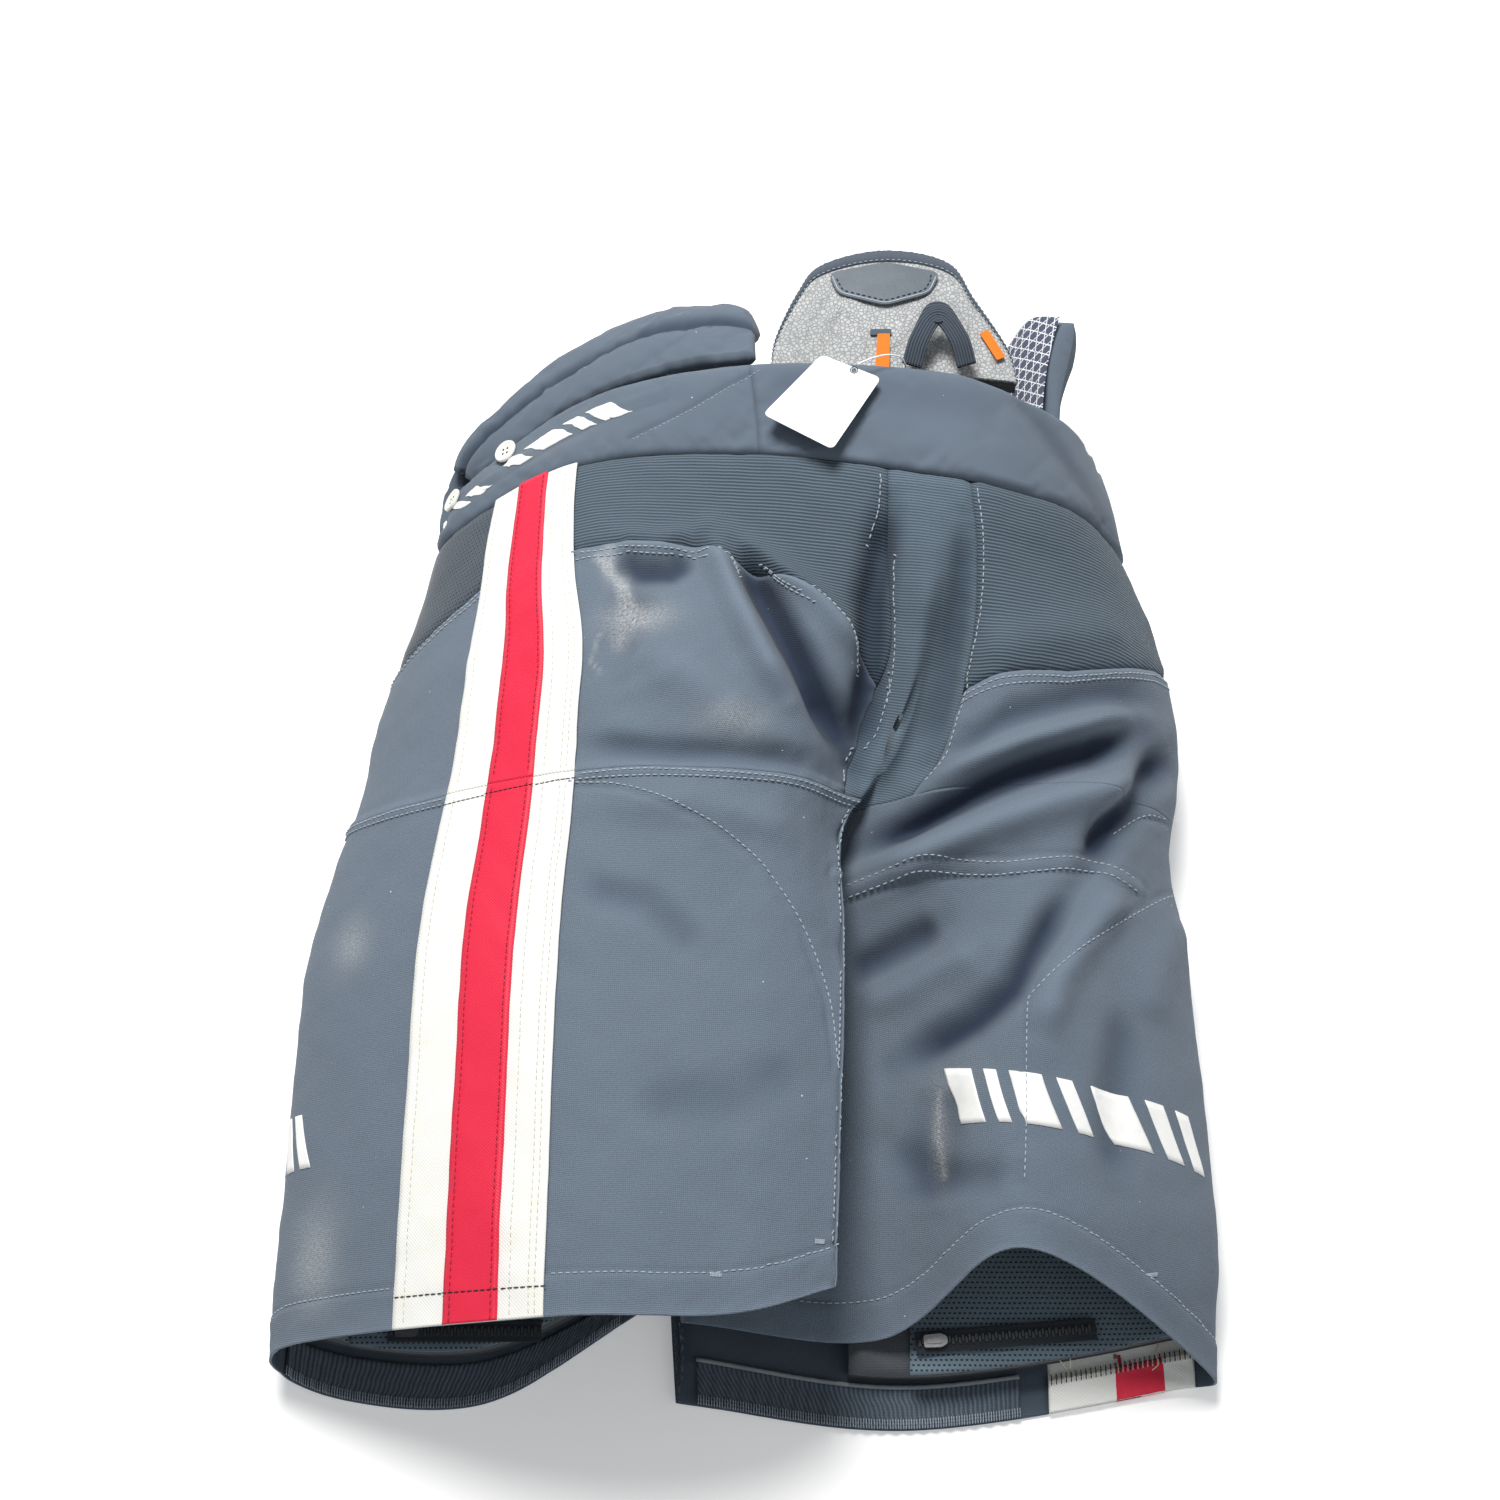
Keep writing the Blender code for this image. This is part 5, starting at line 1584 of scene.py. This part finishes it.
# ---- ruffled facing along the front hems, with a corded edge and overlock ----
for suffix, side, span, body in (
    ("left", L, (3.55, 5.9), "left_leg"), ("right", R, (4.6, 5.9), "right_leg")
):
    ruffle = facing(
        "hem_facing_" + suffix, side, span, (8.56, 8.98), 1.6, body, (HEM_CLOTH,), "ribbed_elastic"
    )
    edge_line = ruffle[:, 0]
    if suffix == "right":
        tube(edge_line[::2] + np.array([0, 0, 0.4]), 1.2, "hem_cord_right", PIPING, body, "lining")
    overlock = Batch()
    row = spaced(ruffle[:, -3], 1.5)
    for spot in row:
        short = spot + np.array([[0.0, -1.6, 0.5], [0.0, 0.0, 0.9], [0.0, 1.6, 0.5]])
        stitches(overlock, short, UPRIGHT, 1.7, 0.26)
    overlock.build("hem_overlock_" + suffix, THREAD, body, "ribbed_elastic")

# ---- perforated liners of the thighs ----
for suffix, side, inner in (("left", L, 5.5), ("right", R, 5.0)):
    facing(
        "thigh_liner_" + suffix, side, (3.75, inner), (5.0, 8.5), 20.4, suffix + "_leg", (LINER_MESH,),
        "vent_mesh", ["leg_liner_" + suffix], gather=0.35, pitch=38.0, thick=1.3, step=3.0, held="stretched"
    )

# ---- ribbed elastic between the front and back of each leg ----
for suffix, side, bow, drop_z in (("left", L, (0, 0, 3), -4.0), ("right", R, (2, 0, 0), -3.2)):
    v = np.linspace(4.62, 8.94, 150)
    front = shell(side, np.full(150, 6.0), v) + np.array([1.5, 0, 3.2])
    back = shell(side, np.zeros(150), v) + np.array([-1.5, 0, drop_z])
    t = np.linspace(0, 1, 40)[None, :, None]
    mid = front[:, None] * (1 - t) + back[:, None] * t + np.array(bow) * np.sin(np.pi * t)
    run = unit(np.cross(np.gradient(mid, axis=1), np.gradient(mid, axis=0)))
    down_y = arc_lengths(mid, 0)
    wave_height = 0.45 * np.sin(2 * np.pi * down_y / 5.5) * np.sin(np.pi * t[..., 0])
    wave_height = wave_height + 0.5 * noise(mid, 24, 44) * np.sin(np.pi * t[..., 0])
    first, second = mid + run * (0.5 + wave_height)[..., None], mid + run * (wave_height - 0.6)[..., None]
    facing_out = np.cross(first[1, 1] - first[0, 1], first[0, 2] - first[0, 1]) @ run[0, 1] > 0
    made = sheet_piece(
        "inseam_elastic_" + suffix, first, second, not facing_out, (ELASTIC,), suffix + "_leg",
        ["inseam_gusset_" + suffix], "ribbed_elastic"
    )

# ---- the right stripe's end, folded back inside the hem ----
across, down = surface_grid(R, STRIPE_R_U, (8.62, 8.99), 1.5)
base = shell(R, across, down)
normal = normals_at(R, across, down)
share = (arc_lengths(base, 1) / arc_lengths(base, 1)[:, -1:].max())
wrinkles = 0.5 * noise(base, 10, 51) + 0.25 * noise(base, 4, 52)
upper = base - normal * (4.1 + wrinkles + 1.2 * np.exp(-(((share - 0.1) / 0.12) ** 2)))[..., None]
under = base - normal * (2.9 + 0 * wrinkles)[..., None]
for grid in (upper, under):
    grid[..., 2] = np.maximum(grid[..., 2], 0.4)
fold = sheet_piece(
    "stripe_fold_inside", upper, under, False, (WHITE, RED), "right_leg", ["stripe_fold_right"],
    "stripe_white"
)
red_zone = (across >= RED_R_U[0]) & (across <= RED_R_U[1])
cells = red_zone[:-1, :-1] & red_zone[1:, 1:]
index = np.zeros(len(fold.data.polygons), np.int32)
index[: cells.size] = cells.ravel()
fold.data.polygons.foreach_set("material_index", index)
fold_edge = {THREAD_DARK.name: (Batch(), THREAD_DARK), THREAD_CREAM.name: (Batch(), THREAD_CREAM)}
for count, spot in enumerate(spaced(upper[:, 0], 1.3)):
    batch, _ = fold_edge[THREAD_DARK.name if count % 2 else THREAD_CREAM.name]
    short = spot + np.array([[0.0, -2.6, 0.5], [0.0, -0.8, 0.8], [0.0, 1.0, 0.3]])
    stitches(batch, short, UPRIGHT, 1.9, 0.3)
for key, (batch, look) in fold_edge.items():
    batch.build("fold_overlock_" + key, look, "right_leg", "stripe_white")
loose = [
    [(162, -283, 7.0), (159, -280, 10.5), (156, -276, 9.0), (155, -271, 7.6)],
    [(164, -283, 7.0), (164, -279, 10.5), (163, -275, 10.0), (164, -270, 8.0)],
    [(206, -284, 8.0), (209, -281, 11.0), (208, -276, 10.0), (210, -271, 8.4)],
]
for number, route in enumerate(loose):
    tube(smooth_outline(route, 26), 0.3, f"fold_thread_{number}", THREAD_CREAM, "right_leg", "stripe_white")

# ---- thigh pocket zips ----
ZIP_FLOOR = 24.5
for suffix, start, end in (("left", (-184, -267), (-106, -267)), ("right", (84, -273), (176, -266))):
    start, end = np.array(start, float), np.array(end, float)
    run_length = np.linalg.norm(end - start)
    ahead = (end - start) / run_length
    aside = np.array([-ahead[1], ahead[0]])
    s = np.linspace(0, run_length, 80)[:, None]
    w = np.linspace(-5.5, 5.5, 15)[None, :]
    flat = start + ahead * s[..., None] + aside * w[..., None]
    level = ZIP_FLOOR + 0.5 * (np.abs(w) < 2.2) + 0.15 * noise(
        np.concatenate([flat, 0 * flat[..., :1]], axis=-1), 25, 61
    )
    upper = np.concatenate([flat, (level + 0.7)[..., None]], axis=-1)
    under = np.concatenate([flat, np.full((*level.shape, 1), ZIP_FLOOR)], axis=-1)
    sheet_piece(
        "zip_cloth_" + suffix, upper, under, True, (ZIP_CLOTH,), suffix + "_leg", ["zip_tape_" + suffix],
        "zip_tape"
    )
    teeth = Batch()
    box_faces = [(0, 2, 3, 1), (4, 5, 7, 6), (0, 1, 5, 4), (2, 6, 7, 3), (0, 4, 6, 2), (1, 3, 7, 5)]
    for k, where in enumerate(np.arange(2.0, run_length - 2.0, 1.7)):
        offset = 0.55 if k % 2 else -0.55
        spot = start + ahead * where + aside * offset
        corners = [
            (*(spot + ahead * 0.55 * a + aside * 1.5 * b), ZIP_FLOOR + 1.0 + 1.0 * c)
            for c in (0, 1) for b in (-1, 1) for a in (-1, 1)
        ]
        teeth.take(np.array(corners), box_faces)
    teeth.build("zip_teeth_" + suffix, TEETH, suffix + "_leg", "zip_tape", smooth=False)
    nose = start + ahead * 4
    runner = rounded_outline(
        [nose - aside * 3.1, nose + ahead * 9 - aside * 3.4, nose + ahead * 12 - aside * 1.8,
         nose + ahead * 12 + aside * 1.8, nose + ahead * 9 + aside * 3.4, nose + aside * 3.1], 1.2)
    plate("zip_runner_" + suffix, runner, lambda x, y: ZIP_FLOOR + 2.1, 1.5, METAL, "zip_slider_" + suffix,
          ["zip_slider_" + suffix], "zip_metal")
    pull = rounded_outline(
        [
            nose + ahead * 1.5 - aside * 1.3, nose + ahead * 9 - aside * 1.6, nose + ahead * 9 + aside * 1.6,
            nose + ahead * 1.5 + aside * 1.3
        ],
        0.9
    )
    plate(
        "zip_pull_" + suffix, pull, lambda x, y: ZIP_FLOOR + 3.6, 0.6, METAL, "zip_slider_" + suffix, (),
        "zip_metal"
    )

# ---------------------------------------------------------------- pads inside the hips and thighs
for suffix, side in (("left", L), ("right", R)):
    pad(
        "hip_shell_" + suffix, side, (2.25, SIDE), (1.5, 3.5), (-6.2, -4.2), "pelvis", (PLASTIC,),
        "pad_plastic", ["hip_cap_" + suffix], (True,) * 4, 3.0, follow=1.0, rough=0.2
    )
    pad("hip_foam_" + suffix, side, (2.25, SIDE), (1.5, 3.5), (-17.4, -6.8), "pelvis", (FOAM,), "pad_foam",
        ["hip_pad_" + suffix], (True,) * 4, 8.0, follow=1.0, rough=0.4)
pad("tail_foam", R, (-0.5, 1.0), (1.5, 3.0), (-16.0, -5.5), "pelvis", (FOAM,), "pad_foam", ["tailbone_pad"],
    (True,) * 4, 6.0, follow=1.0, rough=0.3)
for suffix, side, inner in (("left", L, 5.75), ("right", R, 5.25)):
    pad(
        "thigh_shell_" + suffix, side, (3.75, inner), (5.0, 8.5), (-5.3, -2.7), suffix + "_leg", (PLASTIC,),
        "pad_plastic", ["thigh_plate_" + suffix], (True,) * 4, 4.0, follow=0.0, rough=0.1
    )
    pad(
        "thigh_pad_" + suffix, side, (3.75, inner), (5.0, 8.5), (-19.8, -5.8), suffix + "_leg", (FOAM,),
        "pad_foam", ["thigh_foam_" + suffix], (True,) * 4, 9.0, follow=0.0, rough=0.1
    )

# ---- front closure, on the underside ----
FLY = [(-33, 95), (-9, 95), (4, 253), (-28, 253)]
plate(
    "fly_flap", rounded_outline(FLY, 3), lambda x, y: 3.5, 1.4, NYLON, "pelvis", ["fly_placket"],
    "nylon_shell"
)
for suffix, x in (("left", -24.0), ("right", -9.0)):
    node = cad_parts["lace_tape_" + suffix]
    node.data.materials.clear()
    node.data.materials.append(
        plain_object("lace_webbing_" + suffix, (0.05, 0.065, 0.085), 0.85, 1200.0, 0.6)
    )


# ---------------------------------------------------------------- floor, light and camera
LIT_PLACE = (0.0, 0.0, 0.05)


def area_light(name, place, size, power, colour=(1.0, 1.0, 1.0)):
    lamp = bpy.data.lights.new(name, "AREA")
    lamp.shape = "DISK"
    lamp.size = size
    lamp.energy = power
    lamp.color = colour
    obj = bpy.data.objects.new(name, lamp)
    obj.location = place
    obj.rotation_euler = (Vector(LIT_PLACE) - Vector(place)).to_track_quat("-Z", "Y").to_euler()
    bpy.context.scene.collection.objects.link(obj)


floor_look = Nodes("pale_floor", 0.75, 0.1)
floor_place = floor_look.add("ShaderNodeTexCoord").outputs["Object"]
floor_tone = floor_look.noise(floor_place, 6.0, 2.0)
floor_look.shader.inputs["Emission Color"].default_value = (1.0, 1.0, 1.0, 1.0)
floor_look.shader.inputs["Emission Strength"].default_value = 0.22
floor_look.finish(floor_look.mix(floor_tone, (0.90, 0.90, 0.89, 1), (0.94, 0.94, 0.93, 1)))
floor_mesh = bpy.data.meshes.new("floor")
FLOOR_HALF = 6.0
corners = [(-1, -1), (1, -1), (1, 1), (-1, 1)]
floor_mesh.from_pydata([(x * FLOOR_HALF, y * FLOOR_HALF, -0.0004) for x, y in corners], [], [(0, 1, 2, 3)])
floor_mesh.materials.append(floor_look.material)
floor = bpy.data.objects.new("floor", floor_mesh)
bpy.context.scene.collection.objects.link(floor)

world = bpy.data.worlds.new("studio")
world.use_nodes = True
world.node_tree.nodes["Background"].inputs["Color"].default_value = (0.93, 0.96, 1.0, 1.0)
world.node_tree.nodes["Background"].inputs["Strength"].default_value = 0.36
bpy.context.scene.world = world
area_light("key", (-0.24, 0.86, 1.74), 0.75, 46.0, (1.0, 0.99, 0.97))
area_light("fill", (1.2, -1.4, 1.7), 1.8, 5.0)

CAMERA_PITCH = math.radians(66.0)  # how far the view looks down
CAMERA_AWAY = 1.22
CAMERA_AIM = Vector(to_frame((0.0, 45.0, 50.0)))
camera_data = bpy.data.cameras.new("camera")
camera_data.lens = 52.7
camera_data.sensor_width = 36.0
camera = bpy.data.objects.new("camera", camera_data)
away = Vector((0.0, -math.cos(CAMERA_PITCH), math.sin(CAMERA_PITCH)))
camera.location = CAMERA_AIM + away * CAMERA_AWAY
camera.rotation_euler = (-away).to_track_quat("-Z", "Y").to_euler()
bpy.context.scene.collection.objects.link(camera)
bpy.context.scene.camera = camera
bpy.context.scene.view_settings.view_transform = "Standard"
